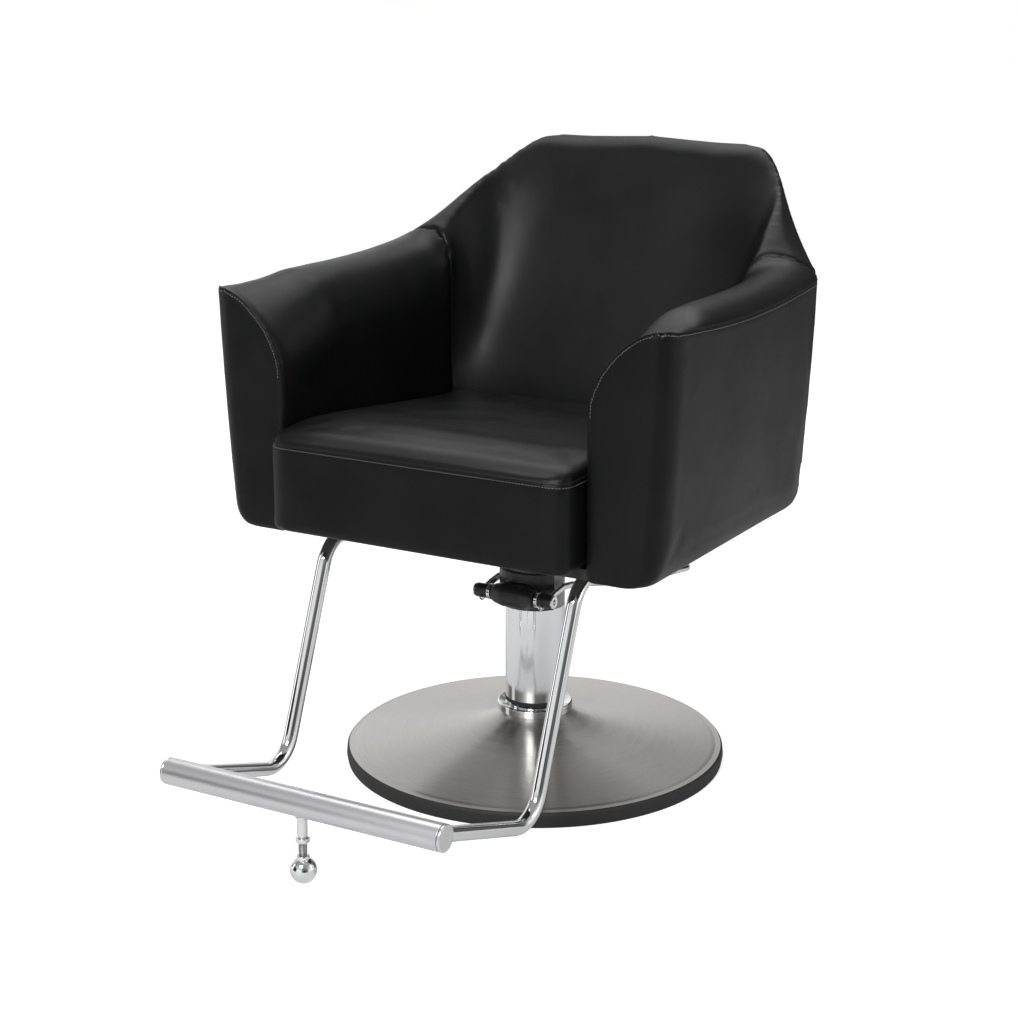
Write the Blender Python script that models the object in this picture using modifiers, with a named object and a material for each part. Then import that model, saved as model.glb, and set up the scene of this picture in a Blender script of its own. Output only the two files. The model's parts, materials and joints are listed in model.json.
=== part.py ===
"""A hydraulic styling chair: upholstered tub on a lifting, turning column with a round base,
a pump lever and a fixed footrest.

Run with: blender --background --python part.py
Metres, +Z up. The origin is on the column's axis at the floor, and the sitter faces -Y.
"""

import bmesh
import bpy
import numpy as np
from math import atan2, cos, pi, radians, sin, sqrt
from mathutils import Matrix, Quaternion, Vector

# ---- Driving dimensions, in metres ----
GAP = 0.0003                    # between pieces that touch
SLIDE_GAP = 0.0006              # between pieces that slide in each other
ROUND_STEPS = 48                # facets round the base's large rings

BASE_RADIUS = 0.300             # outside of the rubber rim
RIM_HEIGHT = 0.024
RIM_WIDTH = 0.012
COVER_SHEET = 0.0015            # spun sheet of the base cover
COVER_TOP = 0.078               # where the cover meets the collar
PLATE_THICKNESS = 0.012         # steel plate inside the base
PLATE_LIFT = 0.004              # under the plate
COLLAR_WIDTH = 0.0126           # of the collar outside the column's skin
COLLAR_HEIGHT = 0.014

COLUMN_RADIUS = 0.0469          # outside of the chrome sleeve and of the shroud
COLUMN_WALL = 0.0025
CYLINDER_RADIUS = 0.0425        # fixed tube that the column slides on
CYLINDER_WALL = 0.0040
CYLINDER_TOP = 0.372
RAM_RADIUS = 0.0140
PISTON_HEIGHT = 0.022
BUSH_HEIGHT = 0.024
SLEEVE_TOP = 0.253              # chrome below this height, painted shroud above it

LEVER_SETBACK = 0.0176          # from the column's skin to the lever shaft's axis
LEVER_Z = 0.281
SHAFT_RADIUS = 0.0085
SHAFT_OVERHANG = 0.013          # its ends stand this far outside the bail's rods
HUB_WALL = 0.0027               # of a lever hub round the shaft
HUB_LENGTH = 0.030
HUB_INNER = 0.0195              # from a lever hub's inner face to the bail's rod
HUB_GAP = 0.0015                # between the pump head and a hub
BAIL_WIRE = 0.0055              # radius of the pedal bail's rod
BAIL_ROOM = 0.0101              # from the column's skin to the rod that passes it
BAIL_FLARE = 0.0230             # each rod turns out this much towards the pedal
BAIL_REACH = 0.4120             # its rear rod's place behind the column axis
BAIL_DROP = 0.066               # its rear rod's depth under the lever shaft
BAIL_CREST = 0.0100             # its arches' height over the lever shaft
BAIL_CORNER = 0.032
HEAD_WALL = 0.0105              # of the pump head's boss round the shaft
HEAD_LOW = 0.2550
HEAD_HIGH = 0.3150

DECK_THICKNESS = 0.0155
DECK_FRONT = -0.300
DECK_SHORT = 0.012              # the deck ends this far ahead of the seam between arm and back
CROSSBAR_THICKNESS = 0.0065
CROSSBAR_WIDTH = 0.040
CROSSBAR_DROP = 0.0022          # the crossbars hang this far under the deck
CROSSBAR_HALF = 0.290
CROSSBAR_FRONT_Y = -0.200
CROSSBAR_REAR_Y = 0.140
SEAT_PLATE = 0.0080
SEAT_PLATE_HALF = 0.095
BOLT_RADIUS = 0.0040
BOLT_SPREAD = 0.072

SEAT_FRONT = -0.360
SEAT_BOTTOM = 0.4240
SEAT_SEAM_Z = 0.5560            # the seam round the top of the front face
SEAT_CROWN = 0.0245             # of the cushion above that seam near its front
SEAT_REAR_Z = 0.5400
SEAT_CORNER = 0.028

ARM_FRONT = -0.310
SEAM_INSIDE_Y = 0.172           # the seam between arm and back, at its inner side
SEAM_OUTSIDE_Y = 0.205          # and at its outer side, where the side panel ends
ARM_INSIDE_FRONT = 0.2506
ARM_INSIDE_REAR = 0.2565
ARM_OUTSIDE = 0.3775
ARM_TUCK = 0.0175               # how far the outer side comes in towards its foot
ARM_CORNER = 0.030
ARM_TOP = 0.7680
ARM_DIP = 0.0155                # the outer edge dips this much half way back
TUB_BOTTOM = 0.4065
TUB_FOOT = 0.036                # height of the rounded foot of the outer side

BACK_CORNER_X = 0.199
BACK_TOP = 0.9480               # height of the back's upper corners
BACK_BOW = 0.0060               # the top edge rises this much at its middle
BACK_TOP_Y = 0.412              # outer face at the top
BACK_FOOT_Y = 0.275             # outer face at the bottom
BACK_INSIDE_Y = 0.180           # inner face behind the seat cushion
BACK_INSIDE_TOP_Y = 0.352
FAN_X, FAN_Y = 0.120, 0.060     # the corner sections turn about this point

CORE_THICKNESS = 0.016          # plywood formers inside the pads
CORE_TOP = 0.690
BACK_CORE_TOP = 0.880
BACK_CORE_HALF = 0.170

FOOT_TUBE = 0.0109              # radius of the footrest's side tubes
FOOT_X = 0.213
FOOT_BEND_Y, FOOT_BEND_Z = -0.383, 0.065
FOOT_SLOPE = 0.394              # y per z of the long straight run
BAR_X = 0.205
BAR_Y, BAR_Z = -0.633, 0.1480
BAR_RADIUS = 0.0192
BAR_HALF = 0.2225
CAP_THICKNESS = 0.0045
STEM_RADIUS = 0.0060
BALL_RADIUS = 0.0185
BALL_Z = 0.051

# ---- Values that follow from them ----
COLLAR_RADIUS = COLUMN_RADIUS + COLLAR_WIDTH
LEVER_Y = -COLUMN_RADIUS - LEVER_SETBACK
HUB_RADIUS = SHAFT_RADIUS + HUB_WALL
HEAD_RADIUS = SHAFT_RADIUS + HEAD_WALL
BAIL_NECK = COLUMN_RADIUS + BAIL_ROOM       # half-width of the bail at the lever hubs
BAIL_HALF = BAIL_NECK + BAIL_FLARE          # and at its pedal
SHAFT_HALF = BAIL_NECK + SHAFT_OVERHANG
HEAD_HALF = BAIL_NECK - HUB_INNER - HUB_GAP  # half-width of the pump head at the shaft
SLEEVE_LOW = COVER_TOP + COLLAR_HEIGHT + 0.002
DECK_TOP = SEAT_BOTTOM - GAP
DECK_BOTTOM = DECK_TOP - DECK_THICKNESS
CROSSBAR_TOP = DECK_BOTTOM - GAP - CROSSBAR_DROP
CROSSBAR_BOTTOM = CROSSBAR_TOP - CROSSBAR_THICKNESS
TUBE_RUN_Z = CROSSBAR_BOTTOM - GAP - FOOT_TUBE
SEAT_PLATE_TOP = DECK_BOTTOM - GAP
SEAT_PLATE_LOW = SEAT_PLATE_TOP - SEAT_PLATE
CYLINDER_BORE = CYLINDER_RADIUS - CYLINDER_WALL
COLUMN_BORE = COLUMN_RADIUS - COLUMN_WALL
SEAT_REAR = BACK_INSIDE_Y - 0.0015
SEAT_HALF = ARM_INSIDE_FRONT - 0.0018
ARM_REAR = (SEAM_INSIDE_Y + SEAM_OUTSIDE_Y) / 2
BACK_LEAN = (BACK_TOP_Y - BACK_FOOT_Y) / (BACK_TOP - TUB_BOTTOM)

for old in list(bpy.data.objects):
    bpy.data.objects.remove(old)

parts = bpy.data.collections.new("styling_chair")
cutters = bpy.data.collections.new("cutters")
bpy.context.scene.collection.children.link(parts)
bpy.context.scene.collection.children.link(cutters)
cutters.hide_render = True


# ---- Materials ----
def material(name, colour, metallic, roughness):
    made = bpy.data.materials.new(name)
    made.use_nodes = True
    shader = made.node_tree.nodes["Principled BSDF"]
    shader.inputs["Base Color"].default_value = (*colour, 1)
    shader.inputs["Metallic"].default_value = metallic
    shader.inputs["Roughness"].default_value = roughness
    return made


LEATHER = material("black_leather", (0.012, 0.012, 0.013), 0, 0.42)
CHROME = material("chrome", (0.80, 0.80, 0.81), 1, 0.06)
SPUN = material("spun_stainless", (0.56, 0.55, 0.53), 1, 0.30)
SATIN = material("satin_aluminium", (0.62, 0.62, 0.63), 1, 0.38)
STEEL = material("plain_steel", (0.42, 0.42, 0.43), 1, 0.35)
SHROUD = material("grey_paint", (0.18, 0.18, 0.175), 0.2, 0.45)
CASTING = material("black_casting", (0.018, 0.018, 0.019), 0.1, 0.40)
RUBBER = material("black_rubber", (0.020, 0.020, 0.021), 0, 0.75)
PLYWOOD = material("plywood", (0.55, 0.40, 0.24), 0, 0.70)
BRASS = material("bearing_bronze", (0.55, 0.38, 0.18), 1, 0.35)


# ---- Ways of making pieces ----
def add(name, mesh, look, smooth=30):
    """The mesh as an object of the chair, shaded smooth up to an angle in degrees."""
    piece = bpy.data.objects.new(name, mesh)
    mesh.materials.append(look)
    mesh.shade_smooth()
    mesh.set_sharp_from_angle(angle=radians(smooth))
    parts.objects.link(piece)
    return piece


def turned(name, profile, look, at=(0, 0, 0), turn=None, steps=48):
    """A closed profile of (radius, height) points, outer side first and downwards, turned about Z.

    A profile that starts and ends on the axis is left open there.
    """
    mesh = bpy.data.meshes.new(name)
    count = len(profile)
    solid = profile[0][0] == 0 and profile[-1][0] == 0
    edges = [(i, (i + 1) % count) for i in range(count - 1 if solid else count)]
    mesh.from_pydata([(r, 0, z) for r, z in profile], edges, [])
    piece = add(name, mesh, look)
    piece.location = at
    if turn:
        piece.rotation_euler = turn
    screw = piece.modifiers.new("Turn", "SCREW")
    screw.steps = screw.render_steps = steps
    screw.use_merge_vertices = True
    screw.merge_threshold = 0.00001
    screw.use_smooth_shade = True
    return piece


def ring(name, outer, inner, low, high, look, at=(0, 0, 0), turn=None, steps=48, chamfer=0.0):
    """A plain ring or tube about Z, with its outer edges chamfered."""
    c = chamfer
    outside = [(outer, high), (outer, low)]
    if c:
        outside = [(outer - c, high), (outer, high - c), (outer, low + c), (outer - c, low)]
    return turned(name, outside + [(inner, low), (inner, high)], look, at, turn, steps)


def rod(name, radius, low, high, look, at=(0, 0, 0), turn=None, steps=32, chamfer=0.0):
    """A solid round bar about Z."""
    c = chamfer
    outside = [(radius, high), (radius, low)]
    if c:
        outside = [(radius - c, high), (radius, high - c), (radius, low + c), (radius - c, low)]
    return turned(name, [(0, high)] + outside + [(0, low)], look, at, turn, steps)


def block(name, low, high, look, bevel=0.0):
    """A box between two corners, with its edges bevelled."""
    low, high = Vector(low), Vector(high)
    made = bmesh.new()
    bmesh.ops.create_cube(made, size=1)
    bmesh.ops.scale(made, vec=high - low, verts=made.verts)
    mesh = bpy.data.meshes.new(name)
    made.to_mesh(mesh)
    made.free()
    piece = add(name, mesh, look)
    piece.location = (low + high) / 2
    if bevel:
        edge = piece.modifiers.new("Edge", "BEVEL")
        edge.width = bevel
        edge.segments = 2
    return piece


def rounded_path(corners, bend, steps=8):
    """Points of a path through corners, each inner one rounded to a bend of that radius."""
    points = [Vector(corners[0])]
    for before, corner, after in zip(corners, corners[1:], corners[2:]):
        corner = Vector(corner)
        back = (Vector(before) - corner).normalized()
        on = (Vector(after) - corner).normalized()
        half = back.angle(on) / 2
        centre = corner + (back + on).normalized() * (bend / sin(half))
        reach = bend / np.tan(half)
        start = corner + back * reach - centre
        end = corner + on * reach - centre
        sweep = start.angle(end)
        for i in range(steps + 1):
            points.append(centre + Quaternion(start.cross(end), sweep * i / steps) @ start)
    points.append(Vector(corners[-1]))
    return points


def tube(name, path, radius, look, sides=4):
    """A round rod along a path, made a mesh with its caps welded on."""
    curve = bpy.data.curves.new(name, "CURVE")
    curve.dimensions = "3D"
    curve.bevel_depth = radius
    curve.bevel_resolution = sides
    curve.use_fill_caps = True
    line = curve.splines.new("POLY")
    line.points.add(len(path) - 1)
    for point, place in zip(line.points, path):
        point.co = (*place, 1)
    guide = bpy.data.objects.new(name + "_guide", curve)
    parts.objects.link(guide)
    graph = bpy.context.evaluated_depsgraph_get()
    mesh = bpy.data.meshes.new_from_object(guide.evaluated_get(graph))
    bpy.data.objects.remove(guide)
    made = bmesh.new()
    made.from_mesh(mesh)
    bmesh.ops.remove_doubles(made, verts=made.verts, dist=0.00001)
    made.to_mesh(mesh)
    made.free()
    mesh.name = name
    mesh.materials.clear()
    return add(name, mesh, look)


def plate(name, outline, thickness, look, matrix):
    """A flat outline of (x, y) points, thick along its local Z, placed by a matrix."""
    made = bmesh.new()
    face = made.faces.new([made.verts.new((x, y, -thickness / 2)) for x, y in outline])
    grown = bmesh.ops.extrude_face_region(made, geom=[face])
    moved = [v for v in grown["geom"] if isinstance(v, bmesh.types.BMVert)]
    bmesh.ops.translate(made, vec=(0, 0, thickness), verts=moved)
    bmesh.ops.recalc_face_normals(made, faces=made.faces)
    mesh = bpy.data.meshes.new(name)
    made.to_mesh(mesh)
    made.free()
    piece = add(name, mesh, look)
    piece.matrix_world = matrix
    return piece


def loft(sections):
    """A bmesh skin through closed sections of equal length, with flat ends."""
    made = bmesh.new()
    rings = [[made.verts.new(point) for point in section] for section in sections]
    count = len(rings[0])
    for one, two in zip(rings, rings[1:]):
        for i in range(count):
            j = (i + 1) % count
            made.faces.new((one[i], one[j], two[j], two[i]))
    made.faces.new(list(reversed(rings[0])))
    made.faces.new(rings[-1])
    bmesh.ops.recalc_face_normals(made, faces=made.faces)
    return made


def modifier_boolean(piece, tool, operation="DIFFERENCE"):
    cut = piece.modifiers.new(tool.name, "BOOLEAN")
    cut.operation = operation
    cut.object = tool


def as_tool(piece):
    """Moves a piece to the cutters, where it is never shown."""
    parts.objects.unlink(piece)
    cutters.objects.link(piece)
    piece.hide_render = True
    piece.display_type = "WIRE"
    return piece


def drill(piece, name, radius, low, high, at, turn=None, steps=24):
    modifier_boolean(piece, as_tool(rod(name, radius, low, high, STEEL, at, turn, steps)))


def hex_nut(name, corner, bore, low, high, look, at=(0, 0, 0)):
    nut = rod(name, corner, low, high, look, at, steps=6)
    drill(nut, name + "_bore", bore, low - 0.01, high + 0.01, at, steps=40)
    return nut


def joint(name, at, parent=None):
    """An empty on a joint's axis, which the pieces of its body are children of."""
    empty = bpy.data.objects.new(name, None)
    empty.location = at
    empty.empty_display_size = 0.05
    parts.objects.link(empty)
    if parent:
        carry(parent, [empty])
    return empty


def carry(empty, pieces):
    bpy.context.view_layer.update()
    for piece in pieces:
        piece.parent = empty
        piece.matrix_parent_inverse = empty.matrix_world.inverted()


ALONG_X = (0, pi / 2, 0)
SIDES = (("left", 1), ("right", -1))


# ---- Base ----
def cover_height(radius):
    """Height of the spun cover: a bell round the column that runs out into a shallow dish."""
    inner, outer = COLUMN_RADIUS + 0.006, BASE_RADIUS - 0.004
    share = (radius - inner) / (outer - inner)
    dish = 0.036 * (1 - share)
    bell = (COVER_TOP - RIM_HEIGHT - 0.036) * (1 - share) ** 9
    return RIM_HEIGHT + dish + bell


def build_base():
    inner, outer = COLUMN_RADIUS + 0.006, BASE_RADIUS - 0.014
    radii = [inner + (outer - inner) * (i / 9) ** 1.7 for i in range(10)]
    top = [(r, cover_height(r)) for r in radii]
    lip = outer + 0.010
    top += [(outer + 0.006, top[-1][1] - 0.0022), (lip, RIM_HEIGHT + GAP)]
    under = [(lip - COVER_SHEET, RIM_HEIGHT + GAP)]
    under += [(r - COVER_SHEET * 0.3, cover_height(r) - COVER_SHEET) for r in radii[::-2]]
    cover = turned("base_cover", top + under, SPUN, steps=ROUND_STEPS)

    width, height = RIM_WIDTH, RIM_HEIGHT
    rim = turned(
        "base_rim",
        [
            (BASE_RADIUS - 0.004, height),
            (BASE_RADIUS - 0.001, height - 0.003),
            (BASE_RADIUS, height * 0.45),
            (BASE_RADIUS - 0.002, 0),
            (BASE_RADIUS - width, 0),
            (BASE_RADIUS - width, height),
        ],
        RUBBER,
        steps=ROUND_STEPS,
    )
    plate_radius = BASE_RADIUS - width - GAP
    base_plate = ring(
        "base_plate", plate_radius, CYLINDER_RADIUS + GAP,
        PLATE_LIFT, PLATE_LIFT + PLATE_THICKNESS, STEEL, steps=ROUND_STEPS,
    )
    collar = turned(
        "base_collar",
        [
            (COLLAR_RADIUS - 0.0022, COVER_TOP + COLLAR_HEIGHT),
            (COLLAR_RADIUS, COVER_TOP + COLLAR_HEIGHT - 0.0022),
            (COLLAR_RADIUS, COVER_TOP + 0.0015),
            (COLLAR_RADIUS - 0.0015, COVER_TOP + GAP),
            (CYLINDER_RADIUS + GAP, COVER_TOP + GAP),
            (CYLINDER_RADIUS + GAP, COVER_TOP + COLLAR_HEIGHT - 0.005),
            (COLUMN_RADIUS, COVER_TOP + COLLAR_HEIGHT - 0.005),
        ],
        CHROME,
        steps=40,
    )
    low = PLATE_LIFT + 0.001
    cylinder = ring("cylinder_tube", CYLINDER_RADIUS, CYLINDER_BORE, low, CYLINDER_TOP, STEEL)
    nut = hex_nut("cylinder_nut", CYLINDER_RADIUS + 0.014, CYLINDER_RADIUS + GAP,
                  PLATE_LIFT + PLATE_THICKNESS + GAP, PLATE_LIFT + PLATE_THICKNESS + 0.016, STEEL)
    foot = rod("cylinder_foot", CYLINDER_BORE - GAP, 0, low + 0.010, STEEL)
    bush = ring(
        "guide_bush", CYLINDER_BORE - GAP, RAM_RADIUS + GAP,
        CYLINDER_TOP - BUSH_HEIGHT, CYLINDER_TOP, BRASS,
    )
    return [cover, rim, base_plate, collar, cylinder, nut, foot, bush]


# ---- Lifting ram ----
RAM_TOP = SEAT_PLATE_LOW - 0.0110
PISTON_LOW = PLATE_LIFT + 0.034


def build_ram():
    head = PISTON_LOW + PISTON_HEIGHT
    ram = rod("ram_rod", RAM_RADIUS, head + GAP, RAM_TOP, CHROME, chamfer=0.0015)
    piston = rod(
        "ram_piston", CYLINDER_BORE - SLIDE_GAP, PISTON_LOW, head, BRASS, steps=40, chamfer=0.002,
    )
    race = ring(
        "swivel_race", 0.030, RAM_RADIUS + GAP, RAM_TOP - 0.008, RAM_TOP, STEEL, steps=28, chamfer=0.001,
    )
    return [ram, piston, race]


# ---- Column that carries the seat ----
def build_column():
    shroud_top = SEAT_PLATE_LOW - GAP
    shroud = ring("column_shroud", COLUMN_RADIUS - 0.0004, COLUMN_BORE, SLEEVE_TOP + GAP,
                  shroud_top, SHROUD)
    sleeve = ring("column_sleeve", COLUMN_RADIUS, COLUMN_BORE, SLEEVE_LOW, SLEEVE_TOP, CHROME,
                  steps=48)
    hub = ring("swivel_hub", 0.034, RAM_RADIUS + GAP, RAM_TOP + GAP, SEAT_PLATE_LOW - GAP,
               BRASS, steps=28, chamfer=0.001)
    return [shroud, sleeve, hub]


def build_pump_head():
    """A cast saddle on the front of the column with a boss round the lever shaft."""
    wrap = radians(62)
    count = 11
    inner = COLUMN_RADIUS + GAP
    outer = COLUMN_RADIUS + 0.0095
    outline = [(outer * sin(a), -outer * cos(a)) for a in np.linspace(-wrap, wrap, count)]
    outline += [(inner * sin(a), -inner * cos(a)) for a in np.linspace(wrap, -wrap, count)]
    middle = (HEAD_LOW + HEAD_HIGH) / 2
    saddle = plate("pump_head", outline, HEAD_HIGH - HEAD_LOW, CASTING,
                   Matrix.Translation((0, 0, middle)))
    reach = HEAD_HALF
    swell = [(HEAD_RADIUS - 0.0055, reach), (HEAD_RADIUS - 0.0035, reach - 0.004),
             (HEAD_RADIUS, reach - 0.018), (HEAD_RADIUS, -reach + 0.018),
             (HEAD_RADIUS - 0.0035, -reach + 0.004), (HEAD_RADIUS - 0.0055, -reach)]
    boss = as_tool(turned("head_boss", [(0, reach)] + swell + [(0, -reach)], CASTING,
                          (0, LEVER_Y, LEVER_Z), ALONG_X, steps=28))
    bore = as_tool(rod("head_column", inner, HEAD_LOW - 0.05, HEAD_HIGH + 0.05, CASTING, steps=48))
    modifier_boolean(saddle, boss, "UNION")
    modifier_boolean(saddle, bore)
    drill(saddle, "head_bore", SHAFT_RADIUS + SLIDE_GAP, -0.1, 0.1,
          (0, LEVER_Y, LEVER_Z), ALONG_X)
    return [saddle]


# ---- Pump lever ----
def build_lever():
    at = (0, LEVER_Y, LEVER_Z)
    shaft = rod("lever_shaft", SHAFT_RADIUS, -SHAFT_HALF, SHAFT_HALF, CHROME, at, ALONG_X,
                steps=24, chamfer=0.001)
    pieces = [shaft]
    hub_in = BAIL_NECK - HUB_INNER
    for side, s in SIDES:
        centre = s * (hub_in + HUB_LENGTH / 2)
        hub = ring("lever_hub_" + side, HUB_RADIUS, SHAFT_RADIUS + GAP,
                   -HUB_LENGTH / 2, HUB_LENGTH / 2, CASTING, (centre, LEVER_Y, LEVER_Z),
                   ALONG_X, steps=24, chamfer=0.0015)
        pieces.append(hub)
        screw = turned(
            "lever_screw_" + side,
            [(0, 0.0030), (0.0030, 0.0024), (0.0045, 0.0008), (0.0045, -0.0030),
             (0.0024, -0.0030), (0.0024, -0.0090), (0, -0.0090)],
            CHROME, steps=16,
        )
        tilt = radians(128)
        axis = Vector((0, -sin(tilt), cos(tilt)))
        screw.rotation_euler = (tilt, 0, 0)
        seat = HUB_RADIUS + 0.0032
        screw.location = Vector((centre, LEVER_Y, LEVER_Z)) + axis * seat
        hole = as_tool(rod("screw_hole_" + side, 0.0024 + GAP, -0.02, 0.02, STEEL, steps=16))
        hole.rotation_euler = screw.rotation_euler
        hole.location = screw.location
        modifier_boolean(hub, hole)
        modifier_boolean(shaft, hole)
        pieces.append(screw)
    rise = radians(16)
    root, clear = SHAFT_RADIUS + SLIDE_GAP, HUB_RADIUS + 0.012
    neck = [(BAIL_NECK, LEVER_Y + r * cos(rise), LEVER_Z + r * sin(rise)) for r in (root, clear)]
    crest, fall = LEVER_Z + BAIL_CREST, BAIL_CREST + BAIL_DROP
    for along, out, down in ((0.10, 0.02, 0.0), (0.14, 0.07, 0.02), (0.18, 0.17, 0.06), (0.235, 0.36, 0.125),
                             (0.30, 0.60, 0.215), (0.38, 0.85, 0.33), (0.46, 0.97, 0.445)):
        y = mix(LEVER_Y, BAIL_REACH, along)
        neck.append((BAIL_NECK + BAIL_FLARE * out, y, crest - fall * down))
    rear = crest - fall
    corners = [(BAIL_HALF, mix(LEVER_Y, BAIL_REACH, 0.54), crest - fall * 0.56),
               (BAIL_HALF, BAIL_REACH, rear), (0, BAIL_REACH, rear)]
    right = [Vector(p) for p in neck] + rounded_path(corners, BAIL_CORNER, 5)[:-1]
    left = [Vector((-p.x, p.y, p.z)) for p in reversed(right)]
    pieces.append(tube("lever_bail", right + left, BAIL_WIRE, CHROME, sides=3))
    for side, s in SIDES:
        socket = as_tool(rod("bail_socket_" + side, BAIL_WIRE + GAP, 0, 0.03, STEEL, steps=24))
        socket.rotation_euler = (rise - pi / 2, 0, 0)
        socket.location = (s * BAIL_NECK, LEVER_Y, LEVER_Z)
        modifier_boolean(pieces[1 if s > 0 else 3], socket)
    return pieces


# ---- Seat structure ----
def build_structure():
    inside = ARM_INSIDE_FRONT - 0.0012
    deck = block("seat_deck", (-inside, DECK_FRONT, DECK_BOTTOM),
                 (inside, SEAM_INSIDE_Y - DECK_SHORT, DECK_TOP), PLYWOOD)
    pieces = [deck]
    for where, y in (("front", CROSSBAR_FRONT_Y), ("rear", CROSSBAR_REAR_Y)):
        half = CROSSBAR_WIDTH / 2
        pieces.append(block("crossbar_" + where,
                            (-CROSSBAR_HALF, y - half, CROSSBAR_BOTTOM),
                            (CROSSBAR_HALF, y + half, CROSSBAR_TOP), STEEL, 0.001))
    seat_plate = block("seat_plate", (-SEAT_PLATE_HALF, -SEAT_PLATE_HALF, SEAT_PLATE_LOW),
                       (SEAT_PLATE_HALF, SEAT_PLATE_HALF, SEAT_PLATE_TOP), STEEL, 0.001)
    pieces.append(seat_plate)
    for i, (x, y) in enumerate(((-1, -1), (1, -1), (1, 1), (-1, 1))):
        at = (x * BOLT_SPREAD, y * BOLT_SPREAD, SEAT_PLATE_LOW)
        bolt = turned(
            f"plate_bolt_{i + 1}",
            [(0, 0.018), (BOLT_RADIUS, 0.018), (BOLT_RADIUS, -GAP), (0.0078, -GAP),
             (0.0078, -0.0050), (0.0065, -0.0062), (0, -0.0062)],
            STEEL, at, steps=12,
        )
        for piece in (seat_plate, deck):
            drill(piece, f"{piece.name}_hole_{i + 1}", BOLT_RADIUS + GAP, -0.02, 0.019, at, steps=12)
        pieces.append(bolt)
    return pieces


# ---- Tub: arms and back in one loft, parted at the seams ----
def bezier(a, b, c, d, t):
    u = 1 - t
    return a * u ** 3 + 3 * b * t * u ** 2 + 3 * c * t ** 2 * u + d * t ** 3


def mix(a, b, share):
    return a + (b - a) * share


def ease(share):
    share = min(max(share, 0), 1)
    return share * share * (3 - 2 * share)


def soft_least(values, power):
    return sum(v ** -power for v in values) ** (-1 / power)


def side_reach(z, top=ARM_TOP):
    """Distance of the arm's outer side from the middle plane, less its tuck towards the foot."""
    share = min(max((top - z) / (top - TUB_BOTTOM - TUB_FOOT), 0), 1)
    return ARM_OUTSIDE - ARM_TUCK * share ** 1.6


def back_outside(z):
    return BACK_FOOT_Y + BACK_LEAN * (z - TUB_BOTTOM)


def back_inside(z):
    share = min(max((z - SEAT_REAR_Z) / (BACK_TOP - 0.018 - SEAT_REAR_Z), 0), 1)
    return mix(BACK_INSIDE_Y, BACK_INSIDE_TOP_Y, share ** 0.92)


SLOPE_RUN = BACK_TOP_Y - 0.024 - SEAM_OUTSIDE_Y


def outer_reach(angle, z):
    """Distance of the outer skin from the fan's centre: three leaning planes, softly joined."""
    along, up = cos(angle), sin(angle)
    reaches = []
    if along > 0.02:
        reaches.append((side_reach(z) - FAN_X) / along)
    if up > 0.02:
        reaches.append((back_outside(z) - FAN_Y) / up)
    lean = back_outside(z) - BACK_TOP_Y
    corner = Vector((side_reach(z), SEAM_OUTSIDE_Y))
    rear = Vector((BACK_CORNER_X, BACK_TOP_Y + lean))
    run = rear - corner
    normal = Vector((run.y, -run.x)).normalized()
    facing = normal.x * along + normal.y * up
    if facing > 0.02:
        reaches.append(normal.dot(corner - Vector((FAN_X, FAN_Y))) / facing)
    return soft_least(reaches, 36)


def inner_reach(angle, z):
    """Distance of the inner skin, whose corner is tight by the cushion and rounder higher up."""
    along, up = cos(angle), sin(angle)
    above = min(max((z - SEAT_REAR_Z) / 0.16, 0), 1)
    reaches = []
    if along > 0.02:
        reaches.append((ARM_INSIDE_REAR - FAN_X) / along)
    if up > 0.02:
        reaches.append((back_inside(z) - FAN_Y) / up)
    return soft_least(reaches, mix(60, 9, above))


def edge_height(angle):
    """Height of the tub's outer top edge in the fan: level, up the slope, then along the back."""
    reach = outer_reach(angle, mix(ARM_TOP, BACK_TOP, 0.5))
    y = FAN_Y + reach * sin(angle)
    share = (y - SEAM_OUTSIDE_Y - 0.004) / (SLOPE_RUN * 0.98)
    rise = BACK_TOP - ARM_TOP - 0.026
    soft = 0.06
    share = soft * np.logaddexp(0, share / soft) if share < 1.5 else share
    share = 1 - soft * np.logaddexp(0, (1 - share) / soft)
    return ARM_TOP + rise * share


def tub_section(base, direction, outer, inner, edge, shape, foot=0.0):
    """One closed section. outer(z) and inner(z) are reaches along direction; shape is the top's
    Bezier handles: outer handle (out, up), inner handle (out, up) and the inner side's drop."""
    (a_out, a_up), (b_out, b_up), drop = shape
    points = []
    corner_z = TUB_BOTTOM + TUB_FOOT
    corner = outer(corner_z) - foot
    for i in range(4):
        t = i / 4
        u = 1 - t
        start = corner - 0.034
        points.append((start * u * u + 2 * (corner - 0.0035) * t * u + corner * t * t,
                       TUB_BOTTOM * (u * u + 2 * t * u) + corner_z * t * t))
    for i in range(5):
        z = mix(corner_z, edge, i / 5)
        points.append((outer(z) - foot, z))
    first = Vector((outer(edge) - foot, edge))
    last_z = edge - drop
    last = Vector((inner(last_z), last_z))
    handles = first, first + Vector((a_out, a_up)), last + Vector((b_out, b_up)), last
    for i in range(10):
        points.append(tuple(bezier(*handles, i / 10)))
    for i in range(6):
        z = mix(last_z, TUB_BOTTOM, i / 5)
        points.append((inner(z), z))
    return [(base[0] + direction[0] * u, base[1] + direction[1] * u, z) for u, z in points]


FRONT_SHAPE = (-0.042, -0.006), (0.0, 0.070), 0.128
MIDDLE_SHAPE = (-0.030, 0.047), (0.0, 0.115), 0.085
SEAM_SHAPE = (-0.026, 0.031), (0.0, 0.132), 0.089
BACK_SHAPE = (0.006, 0.036), (0.022, 0.062), 0.020


def mix_shapes(one, two, share):
    (a, b), (c, d), e = one
    (f, g), (h, i), j = two
    return (mix(a, f, share), mix(b, g, share)), (mix(c, h, share), mix(d, i, share)), mix(e, j, share)


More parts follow.
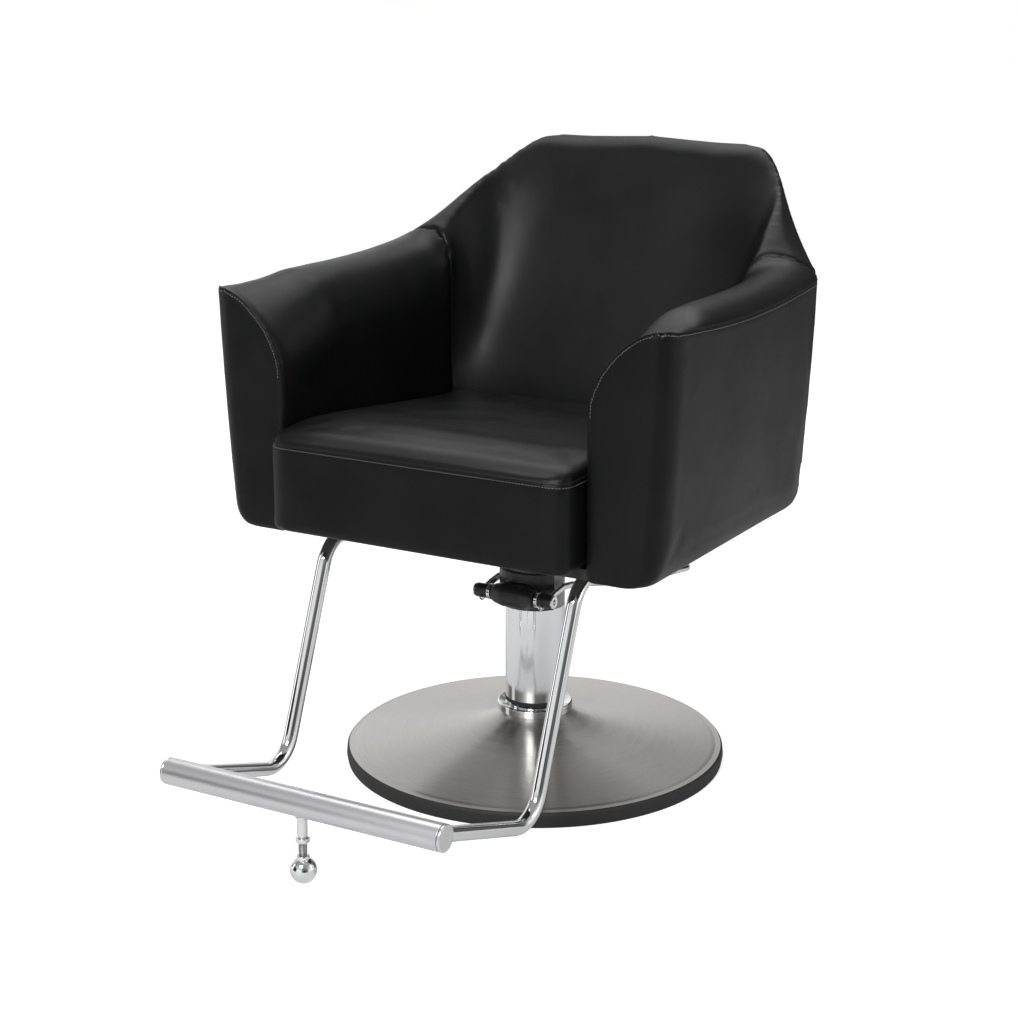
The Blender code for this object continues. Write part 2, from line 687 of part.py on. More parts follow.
def arm_station(y):
    """The arm's section at y, narrowed where the front corner is rounded."""
    share = (y - ARM_FRONT) / (ARM_REAR - ARM_FRONT)
    inside = mix(ARM_INSIDE_FRONT, ARM_INSIDE_REAR, share)
    into = min(y - ARM_FRONT, ARM_CORNER)
    round_off = ARM_CORNER - sqrt(ARM_CORNER ** 2 - (ARM_CORNER - into) ** 2)
    dip = ARM_DIP * sin(pi * min(share, 1)) if share < 1 else 0
    if share < 0.5:
        shape = mix_shapes(FRONT_SHAPE, MIDDLE_SHAPE, ease(share * 2.9))
    else:
        shape = mix_shapes(MIDDLE_SHAPE, SEAM_SHAPE, ease(share * 2 - 1))
    if into < ARM_CORNER:
        (a, b), c, d = shape
        shape = (a * (1 - round_off / 0.12), b), c, d
    return tub_section((0, y), (1, 0), side_reach, lambda z: inside, ARM_TOP - dip, shape, round_off)


def fan_station(angle):
    direction = (cos(angle), sin(angle))
    y = FAN_Y + outer_reach(angle, ARM_TOP) * sin(angle)
    back = ease((y - ARM_REAR) / (BACK_TOP_Y - ARM_REAR - 0.04))
    arm = (y - ARM_FRONT) / (ARM_REAR - ARM_FRONT)
    dip = ARM_DIP * sin(pi * arm) if arm < 1 else 0
    if arm < 1:
        shape = mix_shapes(MIDDLE_SHAPE, SEAM_SHAPE, ease(arm * 2 - 1))
    else:
        shape = mix_shapes(SEAM_SHAPE, BACK_SHAPE, back)
    return tub_section((FAN_X, FAN_Y), direction, lambda z: outer_reach(angle, z),
                       lambda z: inner_reach(angle, z), edge_height(angle) - dip, shape)


def tub_half():
    corner = [ARM_FRONT + ARM_CORNER * (1 - cos(a)) for a in np.linspace(0, pi / 2, 6)]
    straight = list(np.linspace(corner[-1], FAN_Y, 7)[1:-1])
    sections = [arm_station(y) for y in corner + straight]
    angles = np.linspace(0, pi / 2, 21)
    sections += [fan_station(a) for a in angles]
    last = sections[-1]
    for share in (0.5, 1.0):
        bow = BACK_BOW * share
        sections.append([(x - FAN_X * share, y, z + bow * (z - TUB_BOTTOM) / (BACK_TOP - TUB_BOTTOM))
                         for x, y, z in last])
    return sections


def seam_cut(mesh, name, sides, rear):
    """A copy of the tub, cut at the seam planes of those sides, of which the front or rear is kept."""
    made = bmesh.new()
    made.from_mesh(mesh)
    for s in sides:
        along = Vector((s * (ARM_OUTSIDE - ARM_INSIDE_REAR), SEAM_OUTSIDE_Y - SEAM_INSIDE_Y, 0))
        normal = Vector((-along.y * s, along.x * s, 0)).normalized() * (-1 if rear else 1)
        on = Vector((s * ARM_INSIDE_REAR, SEAM_INSIDE_Y, 0)) - normal * GAP
        every = made.verts[:] + made.edges[:] + made.faces[:]
        cut = bmesh.ops.bisect_plane(made, geom=every, plane_co=on, plane_no=normal,
                                     clear_outer=True)
        rim = [e for e in cut["geom_cut"] if isinstance(e, bmesh.types.BMEdge)]
        bmesh.ops.holes_fill(made, edges=rim)
    if not rear:
        other = [v for v in made.verts if v.co.x * sides[0] < 0]
        bmesh.ops.delete(made, geom=other, context="VERTS")
    bmesh.ops.recalc_face_normals(made, faces=made.faces)
    part = bpy.data.meshes.new(name)
    made.to_mesh(part)
    made.free()
    return part


def build_tub():
    right = tub_half()
    left = [[(-x, y, z) for x, y, z in section] for section in right[:-1]]
    whole = loft(right + list(reversed(left)))
    mesh = bpy.data.meshes.new("tub")
    whole.to_mesh(mesh)
    whole.free()
    pieces = [add("arm_" + side, seam_cut(mesh, "arm_" + side, (s,), False), LEATHER, 40)
              for side, s in SIDES]
    pieces.append(add("backrest", seam_cut(mesh, "backrest", (1, -1), True), LEATHER, 40))
    bpy.data.meshes.remove(mesh)
    return pieces


def build_cores(arms, back):
    """Plywood formers that slide up into the arms and the back from below."""
    pieces = []
    low = TUB_BOTTOM + 0.002
    for (side, s), arm in zip(SIDES, arms):
        x = (ARM_INSIDE_REAR + ARM_OUTSIDE - ARM_TUCK) / 2
        front, rear = ARM_FRONT + 0.035, ARM_REAR - 0.025
        half = CORE_THICKNESS / 2
        core = block("arm_core_" + side, (s * x - half, front, low), (s * x + half, rear, CORE_TOP),
                     PLYWOOD)
        slot = as_tool(block("arm_slot_" + side, (s * x - half - GAP, front - GAP, low - 0.02),
                             (s * x + half + GAP, rear + GAP, CORE_TOP + GAP), PLYWOOD))
        modifier_boolean(arm, slot)
        pieces.append(core)
    foot_y = (BACK_INSIDE_Y + BACK_FOOT_Y) / 2 + 0.002
    top_y = (back_inside(BACK_CORE_TOP) + back_outside(BACK_CORE_TOP)) / 2
    lean = atan2(top_y - foot_y, BACK_CORE_TOP - low)
    tall = (BACK_CORE_TOP - low) / cos(lean)
    for name, grow, extra in (("back_core", 0, 0), ("back_slot", GAP, 0.02)):
        board = block(name, (-BACK_CORE_HALF - grow, -CORE_THICKNESS / 2 - grow, -extra),
                      (BACK_CORE_HALF + grow, CORE_THICKNESS / 2 + grow, tall + grow), PLYWOOD)
        board.rotation_euler = (-lean, 0, 0)
        middle = (tall + grow - extra) / 2
        board.location = (0, foot_y + middle * sin(lean), low + middle * cos(lean))
        if grow:
            modifier_boolean(back, as_tool(board))
        else:
            pieces.append(board)
    return pieces


# ---- Seat cushion ----
def cushion_top(y):
    """Height of the cushion's top along its middle: crowned near the front, lower at the back."""
    into = y - SEAT_FRONT
    rise = SEAT_CROWN * (1 - (1 - min(into / 0.065, 1)) ** 2.4)
    fall = max(0, into - 0.065) / (SEAT_REAR - SEAT_FRONT - 0.065)
    return mix(SEAT_SEAM_Z + rise, SEAT_REAR_Z, ease(fall) * 0.6 + fall * 0.4)


def build_cushion():
    rear_round = 0.020
    fronts = [SEAT_FRONT + SEAT_CORNER * (1 - cos(a)) for a in np.linspace(0, pi / 2, 6)]
    middle = list(np.linspace(fronts[-1], SEAT_REAR - rear_round, 9)[1:])
    rears = [SEAT_REAR - rear_round * (1 - sin(a)) for a in np.linspace(0, pi / 2, 5)[1:]]
    sections = []
    for y in fronts + middle + rears:
        front = SEAT_CORNER - min(y - SEAT_FRONT, SEAT_CORNER)
        rear = rear_round - min(SEAT_REAR - y, rear_round)
        half = SEAT_HALF - SEAT_CORNER + sqrt(SEAT_CORNER ** 2 - front ** 2)
        half -= rear_round - sqrt(rear_round ** 2 - rear ** 2)
        top = cushion_top(y) - rear * 0.4
        shoulder = 0.022
        points = [(-half, SEAT_BOTTOM), (-half, top - shoulder)]
        arc = np.linspace(0, pi / 2, 6)[1:]
        points += [(-half + shoulder * (1 - cos(a)), top - shoulder * (1 - sin(a))) for a in arc]
        points += [(x * (half - shoulder), top + 0.004 * (1 - x * x)) for x in (-0.6, -0.2, 0.2, 0.6)]
        points += [(-x, z) for x, z in reversed(points[:7])]
        sections.append([(x, y, z) for x, z in points])
    made = loft(sections)
    mesh = bpy.data.meshes.new("seat_cushion")
    made.to_mesh(mesh)
    made.free()
    return [add("seat_cushion", mesh, LEATHER, 40)]


# ---- Footrest ----
def build_footrest():
    pieces = []
    tubes = []
    run_y = FOOT_BEND_Y + FOOT_SLOPE * (TUBE_RUN_Z - FOOT_BEND_Z)
    end_y = CROSSBAR_REAR_Y + CROSSBAR_WIDTH / 2
    bar = tube("footrest_bar", [(-BAR_HALF, BAR_Y, BAR_Z), (BAR_HALF, BAR_Y, BAR_Z)],
               BAR_RADIUS, SATIN, sides=14)
    for side, s in SIDES:
        corners = [(s * BAR_X, BAR_Y, BAR_Z), (s * FOOT_X, FOOT_BEND_Y, FOOT_BEND_Z),
                   (s * FOOT_X, run_y, TUBE_RUN_Z), (s * FOOT_X, end_y, TUBE_RUN_Z)]
        toward = (Vector(corners[1]) - Vector(corners[0])).normalized()
        corners[0] = Vector(corners[0]) + toward * (BAR_RADIUS * 0.5)
        path = rounded_path(corners, 0.052, 6)
        leg = tube("footrest_tube_" + side, path, FOOT_TUBE, CHROME, sides=6)
        modifier_boolean(leg, bar_clearance())
        pieces.append(leg)
        tubes.append(leg)
        cap = turned(
            "bar_cap_" + side,
            [(0, CAP_THICKNESS), (BAR_RADIUS - 0.003, CAP_THICKNESS), (BAR_RADIUS, CAP_THICKNESS - 0.002),
             (BAR_RADIUS, 0), (0, 0)],
            SATIN, (s * (BAR_HALF + GAP), BAR_Y, BAR_Z), (0, s * pi / 2, 0), steps=40,
        )
        pieces.append(cap)
        for where, y in (("front", CROSSBAR_FRONT_Y), ("rear", CROSSBAR_REAR_Y)):
            pieces += saddle_clamp(f"{where}_{side}", s * FOOT_X, y)
    socket_top = BAR_Z - sqrt((BAR_RADIUS + GAP) ** 2 - 0.0095 ** 2)
    socket = ring("foot_socket", 0.0095, STEM_RADIUS + SLIDE_GAP, SOCKET_LOW, socket_top - 0.0012,
                  CHROME, (0, BAR_Y, 0), steps=28, chamfer=0.001)
    modifier_boolean(socket, bar_clearance())
    return pieces + [bar, socket]


def bar_clearance():
    """The footrest bar's round, grown by a gap, that the pieces which meet it are cut to."""
    made = bpy.data.objects.get("bar_clearance")
    return made or as_tool(rod("bar_clearance", BAR_RADIUS + GAP, -BAR_HALF - 0.02, BAR_HALF + 0.02,
                               SATIN, (0, BAR_Y, BAR_Z), ALONG_X, steps=60))


def saddle_clamp(tag, x, y):
    """A bent strap that holds a footrest tube up against a crossbar, with its two screws."""
    thick, wide, flange = 0.0025, 0.018, 0.013
    inner = FOOT_TUBE + GAP
    outer = inner + thick
    top = CROSSBAR_BOTTOM - GAP - TUBE_RUN_Z
    arc = np.linspace(0, pi, 13)
    outline = [(outer + flange, top), (inner, top)]
    outline += [(inner * cos(a), -inner * sin(a)) for a in arc]
    outline += [(-inner, top), (-outer - flange, top), (-outer - flange, top - thick)]
    outline += [(-outer, top - thick)]
    outline += [(-outer * cos(a), -outer * sin(a)) for a in arc]
    outline += [(outer, top - thick), (outer + flange, top - thick)]
    stand = Matrix.Translation((x, y, TUBE_RUN_Z)) @ Matrix.Rotation(pi / 2, 4, "X")
    strap = plate("tube_clamp_" + tag, outline, wide, STEEL, stand)
    pieces = [strap]
    for end, s in (("a", 1), ("b", -1)):
        at = (x + s * (outer + flange * 0.55), y, TUBE_RUN_Z + top - thick)
        screw = turned(
            f"clamp_screw_{tag}_{end}",
            [(0, thick + GAP * 0.5), (0.0020, thick + GAP * 0.5), (0.0020, -GAP), (0.0042, -GAP),
             (0.0036, -0.0026), (0, -0.0030)],
            STEEL, at, steps=12,
        )
        drill(strap, f"clamp_hole_{tag}_{end}", 0.0020 + GAP, -0.005, 0.005, at, steps=12)
        pieces.append(screw)
    return pieces


SOCKET_LOW = BALL_Z + BALL_RADIUS + 0.030


def build_foot():
    """The adjustable foot under the bar: a threaded stem with its nut, and a ball."""
    neck = BALL_Z + BALL_RADIUS * 0.93
    stem = rod("foot_stem", STEM_RADIUS, neck + 0.004, BAR_Z - BAR_RADIUS - 0.006, STEEL,
               (0, BAR_Y, 0), steps=20)
    nut = hex_nut("foot_nut", 0.0100, STEM_RADIUS + GAP, SOCKET_LOW - 0.0075, SOCKET_LOW - 0.0010,
                  CHROME, (0, BAR_Y, 0))
    profile = [(0.0, BALL_RADIUS)]
    count = 10
    profile += [(BALL_RADIUS * sin(a), BALL_RADIUS * cos(a)) for a in
                [pi * i / count for i in range(1, count)]]
    profile += [(0, -BALL_RADIUS)]
    ball = turned("foot_ball", profile, CHROME, (0, BAR_Y, BALL_Z), steps=20)
    return nut, [stem, ball]


# ---- Assembly ----
def main():
    base = build_base()
    ram = build_ram()
    column = build_column() + build_pump_head()
    structure = build_structure()
    tub = build_tub()
    cores = build_cores(tub[:2], tub[2])
    cushion = build_cushion()
    footrest = build_footrest()
    lever = build_lever()
    nut, foot = build_foot()

    stand = joint("chair", (0, 0, 0))
    lift = joint("seat_lift_axis", (0, 0, CYLINDER_TOP), stand)
    swivel = joint("seat_swivel_axis", (0, 0, RAM_TOP), lift)
    pedal = joint("lever_axis", (0, LEVER_Y, LEVER_Z), swivel)
    stop = joint("foot_axis", (0, BAR_Y, BALL_Z), swivel)
    carry(stand, base)
    carry(lift, ram)
    carry(swivel, column + structure + tub + cores + cushion + footrest + [nut])
    carry(pedal, lever)
    carry(stop, foot)


main()
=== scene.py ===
"""Looks of a hydraulic styling chair: leather pads with their seams, chrome and spun steel, and a studio.

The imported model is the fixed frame. Every piece here stands at its place in that frame, in metres,
with +Z up and the sitter facing -Y.
"""

import json
from math import cos, pi, radians, sin, tan

import bmesh
import bpy
import numpy as np
from mathutils import Matrix, Vector
from mathutils.bvhtree import BVHTree

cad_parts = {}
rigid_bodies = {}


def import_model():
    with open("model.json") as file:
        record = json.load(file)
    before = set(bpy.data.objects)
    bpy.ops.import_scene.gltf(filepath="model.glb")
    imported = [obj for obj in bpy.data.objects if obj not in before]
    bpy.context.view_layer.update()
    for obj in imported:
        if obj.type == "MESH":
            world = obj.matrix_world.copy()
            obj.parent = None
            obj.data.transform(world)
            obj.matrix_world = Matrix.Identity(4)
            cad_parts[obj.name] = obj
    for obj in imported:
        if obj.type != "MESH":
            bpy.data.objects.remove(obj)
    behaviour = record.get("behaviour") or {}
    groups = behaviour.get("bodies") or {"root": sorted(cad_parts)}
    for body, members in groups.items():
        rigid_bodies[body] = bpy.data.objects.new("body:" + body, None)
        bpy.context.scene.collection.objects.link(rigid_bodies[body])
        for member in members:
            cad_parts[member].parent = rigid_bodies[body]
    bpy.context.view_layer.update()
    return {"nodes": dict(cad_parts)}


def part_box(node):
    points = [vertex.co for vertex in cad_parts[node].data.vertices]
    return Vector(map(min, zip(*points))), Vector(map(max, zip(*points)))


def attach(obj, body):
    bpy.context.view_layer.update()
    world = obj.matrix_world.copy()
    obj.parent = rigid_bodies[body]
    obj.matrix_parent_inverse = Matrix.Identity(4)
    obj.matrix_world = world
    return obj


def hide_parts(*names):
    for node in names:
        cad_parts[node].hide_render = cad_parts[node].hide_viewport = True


bl_info = {
    "name": "Styling chair",
    "version": (1, 0, 0),
    "blender": (4, 5, 0),
    "location": "View3D > Sidebar > Chair",
    "description": "Builds the pads, seams, metalwork and studio of a hydraulic styling chair",
    "category": "Object",
}

for leftover in list(bpy.data.objects):
    bpy.data.objects.remove(leftover)
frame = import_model()
SIDES = (("left", 1), ("right", -1))

# Sizes that the pieces share, in metres, and how many facets a turned piece gets
TUBE_RADIUS = 0.0109          # footrest tubes
BAIL_RADIUS = 0.0055          # bent rod of the pump lever
SEAT_CORNER = 0.028           # round of the seat cushion's front corners
SHAFT_PLAY = 0.0003           # between the lever's hubs and its shaft
SWEEP_STEP = 0.006            # spacing of the points along a bent tube
SEAM_STEP = 0.004             # spacing of the points along a seam
FINEST, FINE, SMALL = 192, 128, 64

# Place and size of each softbox and of each black card, in metres
SOFTBOXES = (("key", (-0.7, 0.9, 3.1), (2.6, 2.2)), ("front", (0.5, -3.2, 3.1), (1.5, 1.0)),
             ("side", (3.4, 0.9, 1.6), (1.0, 2.0)), ("fill", (-3.2, -1.6, 1.0), (0.9, 2.0)))
CARDS = (("card_left", (-1.05, -1.65, 0.32), (0.95, 0.72)),
         ("card_right", (1.05, -1.75, 0.35), (0.30, 0.7)),
         ("card_rear", (0.38, 2.0, 0.62), (0.6, 0.9)))


def length(name, size, note, low=0.0):
    return bpy.props.FloatProperty(name=name, description=note, default=size, min=low,
                                   subtype="DISTANCE", unit="LENGTH", precision=5)


def share(name, size, note, high=1.0):
    return bpy.props.FloatProperty(name=name, description=note, default=size, min=0.0, max=high,
                                   subtype="FACTOR")


def tint(name, colour, note):
    return bpy.props.FloatVectorProperty(name=name, description=note, default=colour, size=3,
                                         min=0.0, max=1.0, subtype="COLOR")


def number(name, size, note):
    return bpy.props.FloatProperty(name=name, description=note, default=size)


# ---- Sizes and colours that can be changed ----
class LeatherLook(bpy.types.PropertyGroup):
    """The upholstery leather"""

    colour: tint("Colour", (0.0030, 0.0032, 0.0036), "Dyed surface of the leather")
    worn: tint("Worn colour", (0.0090, 0.0093, 0.0100), "Leather where it is rubbed")
    gloss: share("Roughness", 0.345, "Roughness of the finish")
    pebble: number("Pebbles per metre", 620.0, "How fine the grain is")
    relief: length("Grain depth", 0.00009, "Depth of the grain")
    thread: tint("Thread", (0.21, 0.21, 0.215), "Colour of the topstitching")


class MetalLook(bpy.types.PropertyGroup):
    """The chrome, steel and castings"""

    chrome: tint("Chrome", (0.86, 0.865, 0.875), "Colour of the plating")
    chrome_gloss: share("Chrome roughness", 0.055, "Roughness of the plating")
    spun: tint("Spun steel", (0.60, 0.585, 0.565), "Colour of the spun base cover")
    spun_gloss: share("Spun roughness", 0.30, "Roughness of the spun base cover")
    satin: tint("Satin aluminium", (0.56, 0.56, 0.565), "Colour of the footrest bar")
    plain: tint("Plain steel", (0.42, 0.42, 0.43), "Colour of the straps and plates")
    shroud: tint("Shroud", (0.30, 0.30, 0.295), "Colour of the painted shroud")
    casting: tint("Casting", (0.014, 0.014, 0.015), "Colour of the pump head")
    rubber: tint("Rubber", (0.017, 0.017, 0.0175), "Colour of the base's rim")


class PadSizes(bpy.types.PropertyGroup):
    """How the pads are filled and smoothed"""

    cell: length("Cell", 0.0058, "Spacing of the leather's mesh before it is subdivided", 0.003)
    slack: length("Slack", 0.0006, "The cover starts this much inside its finished shape")
    proud: length("Proud", 0.0011, "The most that filling may move the cover")
    pressure: number("Pressure", 3.0, "Air pressure that stands in for the foam")
    steps: bpy.props.IntProperty(name="Steps", description="Frames that the filling runs for",
                                 default=20, min=2)
    hold: length("Held strip", 0.007, "Width of the strip beside a seam that filling doesn't move")
    relax: bpy.props.IntProperty(name="Smoothing", description="Rounds of smoothing", default=46)


class SewingSizes(bpy.types.PropertyGroup):
    """Seams, piping and topstitching"""

    piping: length("Piping", 0.00125, "Radius of the raised lip of a seam")
    sunk: share("Sunk", 0.62, "Share of the lip's radius that lies under the leather")
    groove: length("Groove", 0.0011, "Depth of the dip along a seam")
    groove_width: length("Groove width", 0.0052, "Half-width of the dip along a seam")
    stitch: length("Stitch", 0.0034, "Length of one stitch")
    pitch: length("Pitch", 0.0050, "From one stitch to the next")
    thread: length("Thread", 0.00050, "Radius of the thread")
    inset: length("Inset", 0.0056, "From a seam to its topstitching")
    side_dip: length("Side dip", 0.0155, "How far the top of the side dips at its middle")
    front_round: length("Front corner", 0.030, "Radius of the arm's outer front corner")
    seat_seam: length("Seat seam", 0.0278, "Depth of the seat's front seam under the crown")


class StageLook(bpy.types.PropertyGroup):
    """Floor, light and camera"""

    floor: tint("Floor", (0.72, 0.72, 0.72), "Colour of the floor")
    glow: number("Floor glow", 0.68, "Extra brightness of the floor where the camera sees it")
    key: number("Key light", 44.0, "Power of the softbox over the chair, in watts")
    side: number("Side light", 8.0, "Power of the softbox at the right, in watts")
    fill: number("Fill light", 10.0, "Power of the softbox at the left, in watts")
    front: number("Front light", 100.0, "Power of the softbox in front, in watts")
    lens: number("Lens", 74.53, "Focal length in millimetres")
    eye: bpy.props.FloatVectorProperty(name="Eye", description="Place of the camera", size=3,
                                       default=(1.550, -2.7486, 1.2743), subtype="TRANSLATION")
    sight: bpy.props.FloatVectorProperty(name="Sight", description="The way the camera looks",
                                         size=3, default=(-0.4845, 0.8335, -0.2658),
                                         subtype="DIRECTION")


def look():
    return bpy.context.scene.chair_leather, bpy.context.scene.chair_metal


# ---- Shader node groups ----
def new_group(name, inputs, outputs):
    """An empty shader group with float, vector and colour sockets given as (name, kind, default)."""
    group = bpy.data.node_groups.new(name, "ShaderNodeTree")
    for label, kind, value in inputs:
        socket = group.interface.new_socket(label, in_out="INPUT", socket_type="NodeSocket" + kind)
        if value is not None:
            socket.default_value = value
    for label, kind in outputs:
        group.interface.new_socket(label, in_out="OUTPUT", socket_type="NodeSocket" + kind)
    return group, group.nodes.new("NodeGroupInput"), group.nodes.new("NodeGroupOutput")


def fed(tree, made, links):
    """A node whose inputs are set by (socket, value or output)."""
    for socket, value in links:
        if isinstance(value, bpy.types.NodeSocket):
            tree.links.new(value, made.inputs[socket])
        else:
            made.inputs[socket].default_value = value
    return made


def node(tree, kind, links=(), **settings):
    """A node of that kind, with settings by attribute and inputs by (socket, value or output)."""
    made = tree.nodes.new("ShaderNode" + kind)
    for key, value in settings.items():
        setattr(made, key, value)
    return fed(tree, made, links)


def maths(tree, operation, first, second=0.0, clamp=False):
    return node(tree, "Math", ((0, first), (1, second)), operation=operation, use_clamp=clamp).outputs[0]


def ramped(tree, value, low, high, start=0.0, end=1.0):
    made = node(tree, "MapRange", (("Value", value), ("From Min", low), ("From Max", high),
                                   ("To Min", start), ("To Max", end)), clamp=True)
    return made.outputs["Result"]


def pebble_group():
    """Leather grain: rounded pebbles with creases between them, pores, and slow hills in the hide."""
    tree, given, out = new_group(
        "leather_grain",
        (("Vector", "Vector", None), ("Pebbles", "Float", 600.0), ("Hills", "Float", 14.0)),
        (("Height", "Float"), ("Crease", "Float"), ("Patches", "Float")))
    bend = node(tree, "TexNoise", (("Vector", given.outputs["Vector"]), ("Scale", 180.0), ("Detail", 2.0)))
    moved = node(tree, "VectorMath", ((0, bend.outputs["Color"]), (1, (0.0016, 0.0016, 0.0016))),
                 operation="MULTIPLY")
    place = node(tree, "VectorMath", ((0, given.outputs["Vector"]), (1, moved.outputs[0])), operation="ADD")
    cells = node(tree, "TexVoronoi", (("Vector", place.outputs[0]), ("Scale", given.outputs["Pebbles"])),
                 feature="DISTANCE_TO_EDGE")
    crease = ramped(tree, cells.outputs["Distance"], 0.0, 0.22, 1.0, 0.0)
    pores = node(tree, "TexNoise", (("Vector", given.outputs["Vector"]), ("Scale", 2600.0), ("Detail", 2.0)))
    slow = node(tree, "TexNoise", (("Vector", given.outputs["Vector"]), ("Scale", given.outputs["Hills"]),
                                   ("Detail", 3.0), ("Roughness", 0.45)))
    height = maths(tree, "MULTIPLY", crease, -1.0)
    height = maths(tree, "ADD", height, maths(tree, "MULTIPLY", pores.outputs["Fac"], 0.25))
    tree.links.new(height, out.inputs["Height"])
    tree.links.new(crease, out.inputs["Crease"])
    tree.links.new(ramped(tree, slow.outputs["Fac"], 0.36, 0.64), out.inputs["Patches"])
    return tree


def brushing_group():
    """Fine brushed lines: noise squeezed across the way the metal was brushed."""
    tree, given, out = new_group(
        "brushed_lines",
        (("Vector", "Vector", None), ("Fineness", "Vector", (20.0, 1500.0, 1500.0))),
        (("Lines", "Float"), ("Cloud", "Float")))
    squeezed = node(tree, "VectorMath", ((0, given.outputs["Vector"]), (1, given.outputs["Fineness"])),
                    operation="MULTIPLY")
    fine = node(tree, "TexNoise", (("Vector", squeezed.outputs[0]), ("Scale", 1.0), ("Detail", 3.0),
                                   ("Roughness", 0.65)))
    cloud = node(tree, "TexNoise", (("Vector", given.outputs["Vector"]), ("Scale", 18.0), ("Detail", 3.0)))
    tree.links.new(ramped(tree, fine.outputs["Fac"], 0.25, 0.75), out.inputs["Lines"])
    tree.links.new(cloud.outputs["Fac"], out.inputs["Cloud"])
    return tree


def wear_group():
    """A mask of rubbed edges and of dust that gathers where the surface faces up."""
    tree, given, out = new_group(
        "rubbed_edges",
        (("Vector", "Vector", None), ("Patch Scale", "Float", 40.0), ("Amount", "Float", 0.5)),
        (("Rubbed", "Float"), ("Dust", "Float")))
    shape = node(tree, "NewGeometry")
    edges = ramped(tree, shape.outputs["Pointiness"], 0.51, 0.60)
    patches = node(tree, "TexNoise", (("Vector", given.outputs["Vector"]),
                                      ("Scale", given.outputs["Patch Scale"]), ("Detail", 4.0)))
    rubbed = maths(tree, "MULTIPLY", edges, ramped(tree, patches.outputs["Fac"], 0.35, 0.65))
    rubbed = maths(tree, "MULTIPLY", rubbed, given.outputs["Amount"], clamp=True)
    up = node(tree, "SeparateXYZ", ((0, shape.outputs["Normal"]),))
    dust = maths(tree, "MULTIPLY", ramped(tree, up.outputs["Z"], 0.2, 1.0), patches.outputs["Fac"])
    tree.links.new(rubbed, out.inputs["Rubbed"])
    tree.links.new(dust, out.inputs["Dust"])
    return tree


GROUP_MAKERS = {"leather_grain": pebble_group, "brushed_lines": brushing_group, "rubbed_edges": wear_group}


def placed(tree, name, links=()):
    """A shared group in a material, made the first time it is asked for."""
    group = bpy.data.node_groups.get(name) or GROUP_MAKERS[name]()
    return node(tree, "Group", links, node_tree=group)


# ---- Materials ----
def blank(name, colour, metallic, roughness, **constants):
    """A material with its Principled shader's constants set, its tree, its shader and object coordinates."""
    made = bpy.data.materials.new(name)
    made.use_nodes = True
    tree = made.node_tree
    shader = tree.nodes["Principled BSDF"]
    shader.inputs["Base Color"].default_value = (*colour, 1)
    shader.inputs["Metallic"].default_value = metallic
    shader.inputs["Roughness"].default_value = roughness
    for socket, value in constants.items():
        shader.inputs[socket.replace("_", " ")].default_value = value
    made.diffuse_color = (*colour, 1)
    coordinates = tree.nodes.new("ShaderNodeTexCoord").outputs["Object"]
    return made, tree, shader, coordinates


def toned(colour, factor, extra=0.0):
    """A colour made darker or brighter."""
    return tuple(min(c * factor + extra, 1.0) for c in colour)


def mixed(tree, mask, one, two):
    """A colour between two, by a mask."""
    made = node(tree, "Mix", data_type="RGBA")
    tree.links.new(mask, made.inputs["Factor"])
    for socket in made.inputs:
        if socket.type == "RGBA":
            socket.default_value = (*(one if socket.identifier.startswith("A") else two), 1)
    return next(o for o in made.outputs if o.type == "RGBA")


def bumped(tree, shader, height, depth, strength=1.0, before=None):
    bump = node(tree, "Bump", (("Height", height), ("Distance", depth), ("Strength", strength)))
    if before:
        tree.links.new(before, bump.inputs["Normal"])
    tree.links.new(bump.outputs["Normal"], shader.inputs["Normal"])


def leather_material():
    leather, _ = look()
    made, tree, shader, at = blank("smooth_leather", leather.colour, 0.0, leather.gloss,
                                   Specular_IOR_Level=0.20, Coat_Weight=0.02, Coat_Roughness=0.25)
    grain = placed(tree, "leather_grain", (("Vector", at), ("Pebbles", leather.pebble), ("Hills", 9.0)))
    wear = placed(tree, "rubbed_edges", (("Vector", at), ("Patch Scale", 30.0), ("Amount", 0.35)))
    shade = maths(tree, "MULTIPLY", grain.outputs["Patches"], 0.22)
    shade = maths(tree, "ADD", shade, maths(tree, "MULTIPLY", wear.outputs["Rubbed"], 0.8), clamp=True)
    tree.links.new(mixed(tree, shade, leather.colour, leather.worn), shader.inputs["Base Color"])
    rough = ramped(tree, grain.outputs["Patches"], 0.0, 1.0, leather.gloss - 0.035, leather.gloss + 0.045)
    rough = maths(tree, "ADD", rough, maths(tree, "MULTIPLY", grain.outputs["Crease"], 0.08))
    tree.links.new(rough, shader.inputs["Roughness"])
    hills = node(tree, "TexNoise", (("Vector", at), ("Scale", 22.0), ("Detail", 2.0), ("Roughness", 0.4)))
    first = node(tree, "Bump", (("Height", hills.outputs["Fac"]), ("Distance", 0.0016), ("Strength", 0.35)))
    bumped(tree, shader, grain.outputs["Height"], leather.relief, 0.55, first.outputs["Normal"])
    return made


def thread_material():
    leather, _ = look()
    made, tree, shader, at = blank("waxed_thread", leather.thread, 0.0, 0.5, Sheen_Weight=0.3)
    twist = placed(tree, "brushed_lines", (("Vector", at), ("Fineness", (3000.0, 3000.0, 3000.0))))
    dark = toned(leather.thread, 0.55)
    tree.links.new(mixed(tree, twist.outputs["Lines"], dark, leather.thread),
                   shader.inputs["Base Color"])
    bumped(tree, shader, twist.outputs["Lines"], 0.0001, 0.6)
    return made


